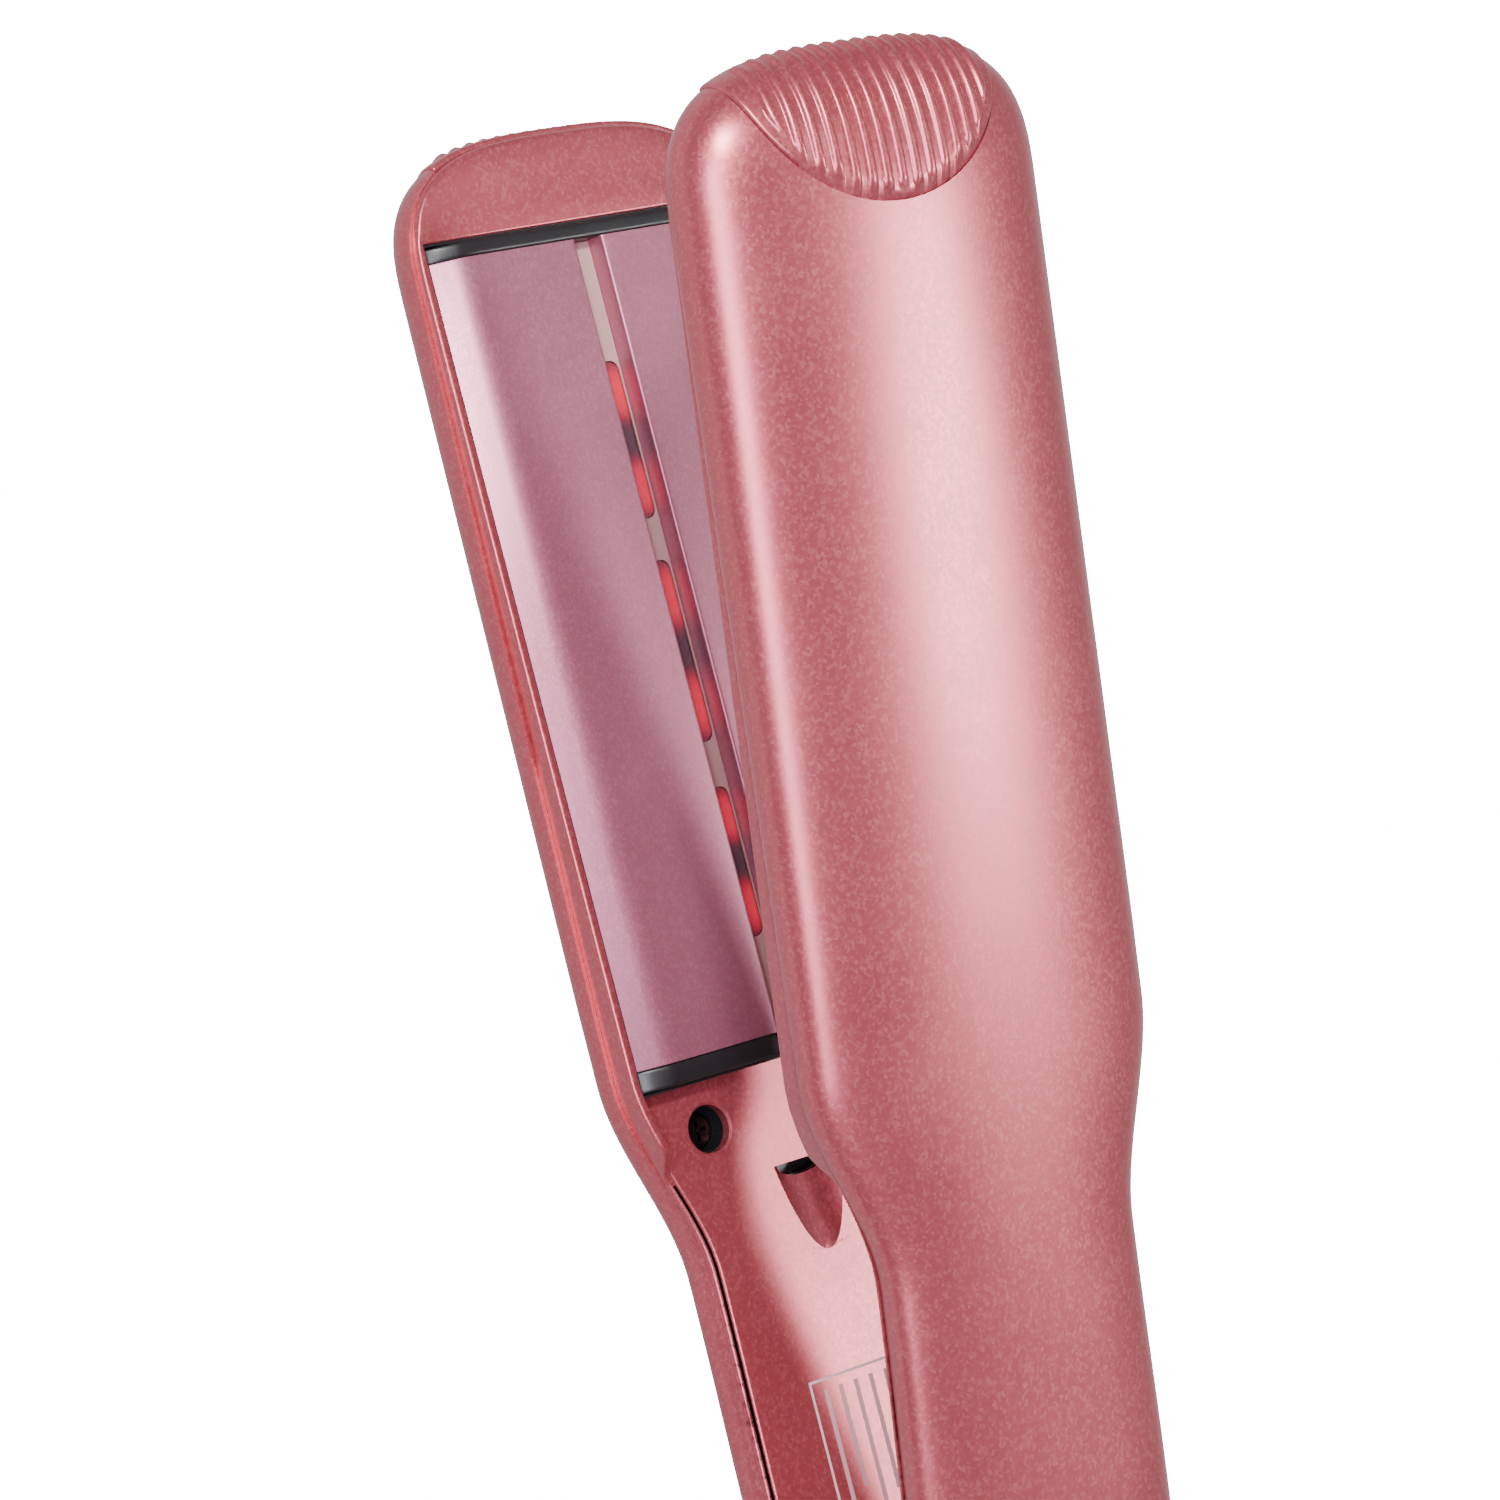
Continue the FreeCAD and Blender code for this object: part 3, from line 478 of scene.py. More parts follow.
# %% The grain group
def grain_group():
    """Two noises: fine for height, coarse for patches of colour and roughness."""
    group, given, made = socket_group(
        "surface_grain",
        [("Dark", "NodeSocketColor", (0.02, 0.02, 0.02, 1)),
         ("Light", "NodeSocketColor", (0.05, 0.05, 0.05, 1)),
         ("Grains per metre", "NodeSocketFloat", 2500.0),
         ("Roughness", "NodeSocketFloat", 0.5), ("Patchiness", "NodeSocketFloat", 0.2)],
        [("Color", "NodeSocketColor"), ("Roughness", "NodeSocketFloat"),
         ("Height", "NodeSocketFloat")])
    where = group.nodes.new("ShaderNodeTexCoord").outputs["Object"]
    fine = noise(group, where, given.outputs["Grains per metre"], 2.0)
    coarse = noise(group, where, 140.0, 4.0, 0.6)
    mottle = math_node(group, "ADD", math_node(group, "MULTIPLY", coarse, 0.6),
                       math_node(group, "MULTIPLY", fine, 0.4), True)
    group.links.new(mix_colour(group, mottle, given.outputs["Dark"], given.outputs["Light"]),
                    made.inputs["Color"])
    patch = math_node(group, "MULTIPLY", math_node(group, "SUBTRACT", coarse, 0.5),
                      given.outputs["Patchiness"])
    group.links.new(math_node(group, "ADD", given.outputs["Roughness"], patch),
                    made.inputs["Roughness"])
    group.links.new(fine, made.inputs["Height"])
    return group


FLAKES = flake_group()
GRAIN = grain_group()


def new_material(name, group, values, metallic=0.0, bump=0.1, depth=0.00002, **plain):
    """A Principled material whose colour, roughness and height come from a group."""
    material = bpy.data.materials.new(name)
    material.use_nodes = True
    tree = material.node_tree
    shader = tree.nodes["Principled BSDF"]
    shader.inputs["Metallic"].default_value = metallic
    for label, value in plain.items():
        shader.inputs[label.replace("_", " ")].default_value = value
    use = tree.nodes.new("ShaderNodeGroup")
    use.node_tree = group
    for label, value in values.items():
        use.inputs[label].default_value = value
    tree.links.new(use.outputs["Color"], shader.inputs["Base Color"])
    tree.links.new(use.outputs["Roughness"], shader.inputs["Roughness"])
    relief = tree.nodes.new("ShaderNodeBump")
    relief.inputs["Strength"].default_value = bump
    relief.inputs["Distance"].default_value = depth
    tree.links.new(use.outputs["Height"], relief.inputs["Height"])
    tree.links.new(relief.outputs["Normal"], shader.inputs["Normal"])
    material.diffuse_color = (*list(values.values())[0][:3], 1)
    return material


def tone(red, green, blue):
    """A colour with full alpha."""
    return (red, green, blue, 1.0)


# %% The materials, each a few numbers
ROSE = new_material(
    "rose_paint", FLAKES,
    {"Tint": tone(0.50, 0.082, 0.105), "Sparkle": tone(0.82, 0.26, 0.27),
     "Flakes per metre": 2800.0, "Roughness": 0.345},
    metallic=0.70, bump=0.09, depth=0.00003, Coat_Weight=0.45, Coat_Roughness=0.25)
PLATE_COAT = new_material(
    "plate_coating", FLAKES,
    {"Tint": tone(0.50, 0.16, 0.24), "Sparkle": tone(0.72, 0.36, 0.45),
     "Flakes per metre": 4200.0, "Roughness": 0.40},
    metallic=0.70, bump=0.08, depth=0.00002, Coat_Weight=0.30, Coat_Roughness=0.28)
BLACK = new_material(
    "black_plastic", GRAIN,
    {"Dark": tone(0.006, 0.006, 0.007), "Light": tone(0.022, 0.021, 0.023),
     "Grains per metre": 3000.0, "Roughness": 0.34}, bump=0.15)
SILICONE = new_material(
    "silicone", GRAIN, {"Dark": tone(0.55, 0.53, 0.48), "Light": tone(0.72, 0.70, 0.65),
                        "Roughness": 0.62}, bump=0.1, Subsurface_Weight=0.1)
CERAMIC = new_material(
    "ceramic", GRAIN, {"Dark": tone(0.72, 0.70, 0.64), "Light": tone(0.88, 0.86, 0.80),
                       "Grains per metre": 6000.0, "Roughness": 0.7}, bump=0.2)
SHEET = new_material(
    "sheet_metal", GRAIN, {"Dark": tone(0.42, 0.43, 0.45), "Light": tone(0.62, 0.63, 0.65),
                           "Grains per metre": 1800.0, "Roughness": 0.38}, metallic=1.0)
SPRING = new_material(
    "spring_steel", GRAIN, {"Dark": tone(0.30, 0.30, 0.31), "Light": tone(0.52, 0.52, 0.53),
                            "Grains per metre": 4000.0, "Roughness": 0.3}, metallic=1.0)
# Near-black metal for the screws, made darker still so that the heads deep in their wells show no
# glint: partly their own dark finish, partly painted shade.
ZINC = new_material(
    "zinc_screw", GRAIN, {"Dark": tone(0.012, 0.011, 0.012), "Light": tone(0.030, 0.029, 0.030),
                          "Grains per metre": 3000.0, "Roughness": 0.42}, metallic=1.0)
STEEL = new_material(
    "hinge_steel", GRAIN, {"Dark": tone(0.40, 0.40, 0.41), "Light": tone(0.58, 0.58, 0.59),
                           "Grains per metre": 2500.0, "Roughness": 0.26}, metallic=1.0)
BOARD = new_material(
    "circuit_board", GRAIN, {"Dark": tone(0.010, 0.060, 0.028), "Light": tone(0.022, 0.110, 0.050),
                             "Grains per metre": 1500.0, "Roughness": 0.45})
LENS = new_material(
    "lens_dark", GRAIN, {"Dark": tone(0.003, 0.003, 0.004), "Light": tone(0.009, 0.008, 0.010),
                         "Roughness": 0.12, "Patchiness": 0.08}, bump=0.03, Coat_Weight=0.6,
    Coat_Roughness=0.05)
SLEEVE = new_material(
    "wire_insulation", GRAIN, {"Dark": tone(0.58, 0.56, 0.50), "Light": tone(0.78, 0.76, 0.70),
                               "Grains per metre": 5000.0, "Roughness": 0.75}, bump=0.4)
SENSOR = new_material(
    "sensor_body", GRAIN, {"Dark": tone(0.42, 0.28, 0.10), "Light": tone(0.60, 0.44, 0.20),
                           "Roughness": 0.4})
# Pale pink beige for the channel's floor, lighter than the plate: painted light for light that
# reaches that floor.
LIT_FLOOR_PAINT = new_material(
    "channel_floor_painted_light", GRAIN, {"Dark": tone(0.46, 0.28, 0.25), "Light": tone(0.64, 0.42, 0.37),
                             "Grains per metre": 3000.0, "Roughness": 0.45}, bump=0.1)
PRINT = new_material(
    "label_print", GRAIN, {"Dark": tone(0.60, 0.40, 0.42), "Light": tone(0.80, 0.58, 0.60),
                           "Grains per metre": 4000.0, "Roughness": 0.5}, bump=0.1)
PRINT_FAINT = new_material(
    "label_rows", GRAIN, {"Dark": tone(0.48, 0.20, 0.22), "Light": tone(0.74, 0.44, 0.46),
                          "Grains per metre": 3500.0, "Roughness": 0.5}, bump=0.1)
print("materials so far:", len(bpy.data.materials))

# %% [markdown]
# ## The back shell
#
# The shell is one moulding: a long trough with a round back that closes over the nose. A stack of
# cross-sections would pinch to nothing at the tip. Instead the surface runs in rings that follow
# the outline: `share` is 1 on the widest line and shrinks to 0 on the spine, and on the nose the
# rings shrink to one point. So the grid flows round the end the way the plastic does.

# %% Columns that follow the outline of an arm
WAIST_REAR, WAIST_FRONT = -111.0, -41.0


def outline_columns(rear, nose_steps=64):
    """Per column: start x, nose share along and across, and side; from rear left to rear right."""
    handle = np.linspace(rear, WAIST_REAR, 22)
    waist = np.linspace(WAIST_REAR, WAIST_FRONT, 64)
    head = np.linspace(WAIST_FRONT, NOSE_START, 26)
    side_x = np.concatenate([handle[:-1], waist[:-1], head])
    t = np.linspace(0, 1, nose_steps)
    angle = math.pi / 2 * (t - 0.3 * np.sin(2 * math.pi * t) / math.pi)
    along = np.sin(angle) ** (2 / NOSE_POWER)
    across = np.maximum(np.cos(angle), 0) ** (2 / NOSE_POWER)
    half = (np.concatenate([side_x, np.full(nose_steps - 1, NOSE_START)]),
            np.concatenate([np.zeros(len(side_x)), along[1:]]),
            np.concatenate([np.ones(len(side_x)), across[1:]]))
    start, nose_along, nose_across = (np.concatenate([v, v[-2::-1]]) for v in half)
    side = np.where(np.arange(len(start)) < len(half[0]), 1.0, -1.0)
    return start, nose_along, nose_across, side


def skin(columns, grow=0.0, rim_rows=7, back_rows=40):
    """Rows from the rim over the widest line to the spine, offset outward by grow."""
    start, along, across, side = columns
    rise = np.linspace(1, 0, rim_rows)[:-1]
    angle = np.linspace(0, math.pi / 2, back_rows)
    share = np.concatenate([np.ones(len(rise)), np.maximum(np.cos(angle), 0) ** (2 / BACK_POWER)])
    rise = np.concatenate([rise, np.zeros(back_rows)])[:, None]
    share = share[:, None]
    roll = (0.35 + 0.95 * waist_share(start)) * rise ** 2
    x = start + along * (NOSE_LENGTH + grow - roll) * share
    reach = half_width(x) + grow - roll
    y = side * reach * across * share
    belly, rim = belly_depth(x), rim_depth(x)
    bulge = np.maximum(1 - share ** BACK_POWER, 0) ** (1 / BACK_POWER)
    z = -belly + (belly - rim) * rise - (SHELL_DEPTH + grow - belly) * bulge
    return np.stack([x, y, z], axis=-1)


def shell_grids():
    """Outer skin, inner skin, the rim between them and the cut face at the hinge."""
    columns = outline_columns(HINGE_X)
    outer, inner = skin(columns), skin(columns, -SHELL_WALL)
    inner[0, :, 2] = outer[0, :, 2]
    rim = np.stack([outer[0], inner[0]])
    ends = [np.stack([outer[:, i], inner[:, i]]) for i in (0, -1)]
    return [outer, inner, rim] + ends


# %% [markdown]
# ### Where the arms hinge
#
# At the rear the two shells interlock: the lower one has an ear on each side and a block in the
# middle for the cord bush, and the upper one has a cheek between them. The shell is cut back for
# the other arm's knuckles, and its own are turned pieces whose radius follows the handle's back.

# %% Knuckles
EAR_INNER, CHEEK_INNER, KNUCKLE_GAP, KNUCKLE_STEP = 12.9, 7.6, 0.3, 0.08
BEYOND = 30.0
PIN_RADIUS, SWIVEL_RADIUS, SWIVEL_GAP = 2.5, 5.6, 0.05
HANDLE_END = float(half_width(np.array(HINGE_X)))


def knuckle(y0, y1, bore):
    """Ring round the hinge axis from y0 to y1, its outer radius following the handle's back."""
    reach = HANDLE_END - KNUCKLE_STEP
    y = np.linspace(max(y0, -reach), min(y1, reach), 12)
    radius = back_depth(np.array(HINGE_X), np.abs(y) / HANDLE_END) - KNUCKLE_STEP
    profile = np.concatenate([[(y[0], bore)], np.stack([y, radius], -1), [(y[-1], bore)],
                              [(y[0], bore)]])
    return turned(profile, (HINGE_X, 0, 0), "y", 96)


def both(span):
    """A span and its mirror image across the arm."""
    return [span, (-span[1], -span[0])]


KNUCKLES = {"lower": both((EAR_INNER, BEYOND)),
            "upper": both((CHEEK_INNER, EAR_INNER - KNUCKLE_GAP))}
CLEARED = {"lower": both((CHEEK_INNER - KNUCKLE_GAP, EAR_INNER)),
           "upper": both((EAR_INNER - KNUCKLE_GAP, BEYOND)) + [(-CHEEK_INNER, CHEEK_INNER)]}

# %% [markdown]
# ## The ribbed finger grip
#
# The grip is a separate lens of the same plastic, laid into the nose and wrapping over its end.
# Its ribs run along the arm. The surface is the shell's own, lifted along its normal by a height
# that is a function of two things: the distance from the edge of the lens, for a rounded border,
# and the distance across to the nearest rib. Fifteen bars joined on would leave hard roots.

# %% Grip lens
GRIP_LENGTH, GRIP_HALF = 17.4, 18.3
GRIP_PROUD, GRIP_SUNK, RIB_RISE = 0.3, 0.8, 0.42
RIB_PITCH, RIB_WIDTH, RIB_COUNT, RIB_INSET, RIB_FADE = 2.1, 1.0, 15, 1.5, 0.6
GRIP_BORDER, RIM_CLEAR, POCKET_GAP = 0.5, 2.2, 0.05
GRIP_TIP = NOSE_START + NOSE_LENGTH


def grip_base():
    """The shell's surface in the lens: columns at fixed y, rows from the lens edge to the rim."""
    y = np.linspace(-1, 1, 261) * (GRIP_HALF - 0.28)
    power = NOSE_POWER
    sideways = np.abs(y) / HEAD_HALF
    edge_x = GRIP_TIP - GRIP_LENGTH * np.sqrt(1 - (y / GRIP_HALF) ** 2)
    edge = ((edge_x - NOSE_START) / NOSE_LENGTH) ** power + sideways ** power
    edge = np.minimum(edge, 0.9999) ** (1 / power)
    start = np.arccos(edge ** (BACK_POWER / 2))
    share = np.cos(start * (1 - np.linspace(0, 1, 54)[:, None])) ** (2 / BACK_POWER)
    forward = np.maximum(share ** power - sideways ** power, 0) ** (1 / power)
    x = NOSE_START + NOSE_LENGTH * forward
    belly = belly_depth(x)
    bulge = np.maximum(1 - share ** BACK_POWER, 0) ** (1 / BACK_POWER)
    z = -belly - (SHELL_DEPTH - belly) * bulge
    back = np.stack([x, np.broadcast_to(y, x.shape), z], axis=-1)
    rise = np.linspace(0, 1, 13)[1:, None]
    tip = back[-1]
    front_z = tip[:, 2] + (belly_depth(tip[:, 0]) - rim_depth(tip[:, 0])) * rise
    front_x = tip[:, 0] - 0.35 * rise ** 2
    front = np.stack([front_x, np.broadcast_to(tip[:, 1], front_x.shape), front_z], axis=-1)
    return np.concatenate([back, front])


def grip_grids():
    """Lifted top, sunk underside and the border between them."""
    base = grip_base()
    normal = np.cross(np.gradient(base, axis=0), np.gradient(base, axis=1))
    normal /= np.linalg.norm(normal, axis=-1, keepdims=True) + 1e-12
    normal *= np.sign((normal * (base - (40.0, 0, -4.0))).sum(-1, keepdims=True))
    lens = np.hypot((GRIP_TIP - base[..., 0]) / GRIP_LENGTH, base[..., 1] / GRIP_HALF)
    from_rim = -rim_depth(base[..., 0]) - base[..., 2]
    inward = np.maximum(np.minimum((1 - lens) * GRIP_HALF, from_rim), 0)
    short = np.maximum(GRIP_BORDER - inward, 0)
    lift = GRIP_PROUD - GRIP_BORDER + np.sqrt(np.maximum(GRIP_BORDER ** 2 - short ** 2, 0))
    nearest = np.round(base[..., 1] / RIB_PITCH)
    nearest = np.clip(nearest, -(RIB_COUNT // 2), RIB_COUNT // 2)
    off_rib = np.abs(base[..., 1] - nearest * RIB_PITCH)
    round_top = np.sqrt(np.maximum(1 - (off_rib / (RIB_WIDTH * 0.62)) ** 2, 0))
    inside = np.minimum(inward - RIB_INSET, from_rim - RIM_CLEAR)
    ends = np.clip(inside / RIB_FADE, 0, 1)
    lift = lift + RIB_RISE * round_top * np.sqrt(1 - (1 - ends) ** 2)
    top = base + normal * lift[..., None]
    under = base - normal * GRIP_SUNK
    walls = [np.stack([top[0], under[0]]), np.stack([top[-1], under[-1]]),
             np.stack([top[:, 0], under[:, 0]]), np.stack([top[:, -1], under[:, -1]])]
    return [top, under] + walls


def grip_pocket():
    """Cutter for the lens: its outline as a prism, less the core that the lens lies on."""
    angle = np.linspace(0, 2 * math.pi, 181)
    ring = np.stack([GRIP_TIP + (GRIP_LENGTH + POCKET_GAP) * np.cos(angle),
                     (GRIP_HALF + POCKET_GAP) * np.sin(angle)], -1)
    middle = np.tile((GRIP_TIP, 0.0), (len(angle), 1))
    plan = np.stack([middle, ring, ring, middle])
    height = np.array([-20.0, -20.0, 1.0, 1.0])[:, None] * np.ones(len(angle))
    return np.concatenate([plan, height[..., None]], axis=-1)


def core_grids():
    """Closed solid just under the lens, which the pocket must leave standing."""
    body = skin(outline_columns(0.0, 48), -GRIP_SUNK, 5, 26)
    above = (0, 0, 4.0)
    lid = np.stack([body[0], body[0] * (1, 0, 1)]) + above
    walls = np.stack([body[0], body[0] + above])
    caps = [np.stack([body[:, i], body[:, i] * (1, 0, 1)]) for i in (0, -1)]
    return [body, lid, walls] + caps


# %% Make the shells and the grips
for arm in ARMS:
    shell = solid(f"{arm}_back_shell", shell_grids(), arm)
    cutters = [solid("gap", [peg(SHELL_DEPTH + 0.4, y0, y1, (HINGE_X, 0, 0), "y", 96)], arm)
               for y0, y1 in CLEARED[arm]]
    core = solid("core", core_grids(), arm)
    pocket = solid("pocket", [grip_pocket()], arm)
    combine(pocket, [core])
    combine(shell, cutters + [pocket])
    finish_piece(shell, f"{arm}_arm", ROSE, (f"{arm}_shell",), 0.22)
    ring_grids = [knuckle(y0, y1, PIN_RADIUS) for y0, y1 in KNUCKLES[arm]]
    if arm == "lower":
        ring_grids.append(knuckle(-CHEEK_INNER + KNUCKLE_GAP, CHEEK_INNER - KNUCKLE_GAP, 0.01))
    rings = solid(f"{arm}_knuckles", ring_grids, arm)
    if arm == "lower":
        bore = peg(SWIVEL_RADIUS + SWIVEL_GAP, -210, -170, (0, 0, 0), "x", 64)
        combine(rings, [solid("bush_bore", [bore])])
    finish_piece(rings, f"{arm}_arm", ROSE, (f"{arm}_shell",), 0.3)
    grip = solid(f"{arm}_finger_grip", grip_grids(), arm)
    finish_piece(grip, f"{arm}_arm", ROSE, (f"{arm}_grip_pad",), 0.0, 50)

# %% [markdown]
# ## The inner moulding
#
# Inside, the arm is closed by a second moulding. Round the plate it is a raised frame that follows
# the outline, broad at the nose and a thin rim along the sides, and its two ends slope down into
# the floor of the waist. Behind that the floor runs on as the deck of the handle. The frame is a
# band: one edge is the outline, the other is the plate's opening, and the profile across has
# rounded edges.

# %% Raised frame round the plate
FRAME_REAR, FRAME_INSET, NOSE_INSET, FRAME_SIDE, FRAME_LOW = -62.4, 0.9, 0.5, 2.1, -4.9
RAMP_START, RAMP_LENGTH = -58.6, 3.6
DECK_INSET, DECK_ROUND, DECK_LOW = 1.92, 0.45, -5.6


def frame_grids():
    """Band from the outline to the opening; its profile rises, rounds over, and drops inside."""
    start, along, across, side = outline_columns(FRAME_REAR, 56)
    reach = NOSE_LENGTH - NOSE_INSET
    x = start + along * reach
    y = side * (half_width(x) - FRAME_INSET) * across
    front = PLATE_LENGTH / 2 + TIP_STRIP + PLATE_GAP
    half = PLATE_WIDTH / 2 + PLATE_GAP
    corner = float((HEAD_HALF - FRAME_INSET)
                   * (1 - ((front - NOSE_START) / reach) ** NOSE_POWER) ** (1 / NOSE_POWER))
    side_half = np.minimum(half_width(x) - FRAME_SIDE, half)
    inner_y = np.where(x < front, side * side_half, y * half / corner)
    inner_x = np.minimum(x, front)
    outer, inner = np.stack([x, y], -1), np.stack([inner_x, inner_y], -1)
    span = np.linalg.norm(inner - outer, axis=-1)
    step = (inner - outer) / span[:, None]
    ramp = smoothstep((RAMP_START - x) / RAMP_LENGTH)
    top = PANEL_TOP + (DECK_TOP - 0.1 - PANEL_TOP) * ramp
    round_out = np.minimum(0.9, 0.42 * span)
    round_in = np.minimum(0.3, 0.3 * span)
    angle = np.linspace(0, math.pi / 2, 6)
    foot = (np.zeros_like(x), -rim_depth(x) + 0.05)
    rows = [foot]
    rows += [(round_out * (1 - math.cos(a)), top - round_out * (1 - math.sin(a))) for a in angle]
    rows += [(round_out + (span - round_out - round_in) * t, top) for t in (0.25, 0.5, 0.75)]
    rows += [(span - round_in * (1 - math.sin(a)), top - round_in * (1 - math.cos(a)))
             for a in angle]
    rows += [(span, np.full_like(x, FRAME_LOW)), foot]
    grid = np.stack([np.concatenate([outer + step * d[:, None], z[:, None]], -1)
                     for d, z in rows])
    return [grid, fan(grid[:, 0]), fan(grid[:, -1])]


def deck_grids():
    """Waist floor and handle deck: profiles across, from the plate's end back to the hinge."""
    rear = PLATE_LENGTH / 2 + WAIST_STRIP + PLATE_GAP
    x = np.concatenate([np.linspace(DECK_END, WAIST_REAR, 24)[:-1],
                        np.linspace(WAIST_REAR, -rear, 60)])[:, None]
    half = half_width(x) - DECK_INSET
    angle = np.linspace(0, math.pi / 2, 9)
    side = [(0 * x - half, 0 * x + DECK_LOW)]
    side += [(-half + DECK_ROUND * (1 - math.cos(a)),
              0 * x + DECK_TOP - DECK_ROUND * (1 - math.sin(a))) for a in angle]
    side += [(-half * t, 0 * x + DECK_TOP) for t in (0.75, 0.5, 0.25, 0.0)]
    points = side + [(-y, z) for y, z in side[-2::-1]] + [side[0]]
    grid = np.concatenate([np.stack([x, y, z], -1) for y, z in points], axis=1)
    return [grid, fan(grid[0]), fan(grid[-1])]


# %% [markdown]
# ### Screw wells, and the scoop at the waist
#
# Two counterbored wells stand either side of the waist, and between them is a scoop: a short
# trough that runs down towards the plate and ends in a slot. The wells are cut with solids that
# carry their own chamfer, so the cut edge is already broken and catches the light.

# %% Cutters for the deck
SCREWS = [(x, side * y) for x, y in ((-58.0, 12.5), (-168.0, 11.0)) for side in (1, -1)]
WELL_RADIUS, WELL_FLOOR, SCREW_LENGTH = 2.9, -8.2, 2.2
SHADE_LINING_WALL, SCREW_BORE = 1.0, 1.4
SCOOP_X, SCOOP_END, SCOOP_RADIUS, SCOOP_DROP = -64.6, -76.0, 6.6, 2.4
SLOT_LENGTH, SLOT_HALF, SLOT_FLOOR, SHADE_CUP_TOP = 1.9, 4.0, -9.0, -6.9
GAP_SHADE_TOP, GAP_SHADE_LOW, GAP_SHADE_CLEARANCE = -1.3, -4.6, 0.02
CHAMFER = 0.3


def half_moon(inset=0.0):
    """Plan outline of the slot: straight towards the plate, bulging towards the hinge."""
    t = np.linspace(0, math.pi, 25)
    ring = np.stack([SCOOP_X - inset - (SLOT_LENGTH - 2 * inset) * np.sin(t),
                     (SLOT_HALF - inset) * np.cos(t)], -1)
    return np.concatenate([ring, ring[:1]])


def well_cutter(x, y, radius=WELL_RADIUS, floor=WELL_FLOOR):
    """A drill with a flared top."""
    profile = [(floor, 0), (floor, radius), (DECK_TOP - CHAMFER, radius),
               (DECK_TOP + 0.02, radius + CHAMFER), (3, radius + CHAMFER), (3, 0)]
    return turned(profile, (x, y, 0))


def well_shade_lining(x, y):
    """A black cup under each well, painted shade for the dark depth of the well: a thin wall, and a
    floor bored for the screw.
    """
    outer, inner, low = WELL_RADIUS + SHADE_LINING_WALL, WELL_RADIUS, WELL_FLOOR - 0.6
    profile = [(low, SCREW_BORE), (low, outer), (DECK_LOW, outer), (DECK_LOW, inner),
               (WELL_FLOOR, inner), (WELL_FLOOR, SCREW_BORE), (low, SCREW_BORE)]
    return turned(profile, (x, y, 0))


def slot_shade_cup():
    """A black cup that lines the slot at the end of the scoop, painted shade for the dark inside of
    the slot.
    """
    inside, outside = half_moon(0.14), half_moon(-0.02)
    return loft([(inside, SLOT_FLOOR + 0.1), (inside, SHADE_CUP_TOP), (outside, SHADE_CUP_TOP),
                 (outside, SLOT_FLOOR - 0.05)])


def gap_shade_ring():
    """A black ring under the gap between plate and frame, seen only as a line there: painted shade
    in the gap.
    """
    front, rear = PLATE_LENGTH / 2 + TIP_STRIP, -PLATE_LENGTH / 2 - WAIST_STRIP
    outer = PLATE_GAP - GAP_SHADE_CLEARANCE
    return frame_ring(rear - outer, front + outer, PLATE_WIDTH / 2 + outer, outer - 3 * GAP_SHADE_CLEARANCE,
                      GAP_SHADE_LOW, GAP_SHADE_TOP)


def scoop_cutter():
    """A tilted trough: circles whose lowest point runs from the deck down to the slot."""
    x = np.linspace(SCOOP_END - 14, SCOOP_X, 16)
    angle = np.linspace(0, 2 * math.pi, 65)
    slope = math.atan2(SCOOP_DROP, SCOOP_X - SCOOP_END)
    tall = SCOOP_RADIUS / math.cos(slope)
    centre = DECK_TOP - (x - SCOOP_END) * math.tan(slope) + tall
    grid = np.stack(np.broadcast_arrays(
        x[:, None], SCOOP_RADIUS * np.cos(angle), centre[:, None] + tall * np.sin(angle)), -1)
    return [grid, fan(grid[0]), fan(grid[-1])]


SCOOP_BLOCK = slab(-78.5, FRAME_REAR, -6.6, 6.6, -9.9, -4.6)
BUSH_ROOM = slab(DECK_END - 1, -171.0, -8.6, 8.6, -9, 0)
BUTTONS = {"plus_button": (-139.0, 2.7), "power_button": (-146.5, 3.3),
           "minus_button": (-154.0, 2.7)}
DISPLAY_FRONT, DISPLAY_REAR, DISPLAY_HALF, DISPLAY_CORNER = -116.0, -134.0, 5.5, 2.0
HOLE_LOW = -7.0

# %% Make the inner mouldings
for arm in ARMS:
    raised = solid(f"{arm}_plate_frame", frame_grids(), arm)
    finish_piece(raised, f"{arm}_arm", ROSE, (f"{arm}_panel",), 0.0, 40)
    deck = solid(f"{arm}_inner_deck", deck_grids(), arm)
    combine(deck, [solid("scoop_block", SCOOP_BLOCK, arm)], "UNION")
    # The wells, the slot and the gap round the plate get black linings: painted shade for their
    # dark insides.
    shade_linings = [well_shade_lining(x, y) for x, y in SCREWS] + [slot_shade_cup(), gap_shade_ring()]
    shade_linings = solid(f"{arm}_painted_shade_linings", shade_linings, arm)
    finish_piece(shade_linings, f"{arm}_arm", BLACK, (f"{arm}_panel",))
    cutters = [solid("well", [well_cutter(x, y)], arm) for x, y in SCREWS]
    cutters.append(solid("scoop", scoop_cutter(), arm))
    cutters.append(solid("slot", [loft([(half_moon(), SLOT_FLOOR), (half_moon(), 1.0)])], arm))
    cutters.append(solid("bush_room", BUSH_ROOM, arm))
    if arm == "lower":
        cutters += [solid("hole", [well_cutter(x, 0, radius + 0.1, HOLE_LOW)])
                    for x, radius in BUTTONS.values()]
        window = pill(DISPLAY_REAR, DISPLAY_FRONT, DISPLAY_HALF, DISPLAY_CORNER)
        cutters.append(solid("window", [loft([(window, HOLE_LOW), (window, 0.0)])]))
    combine(deck, cutters)
    finish_piece(deck, f"{arm}_arm", ROSE, (f"{arm}_panel",), 0.15, 14)

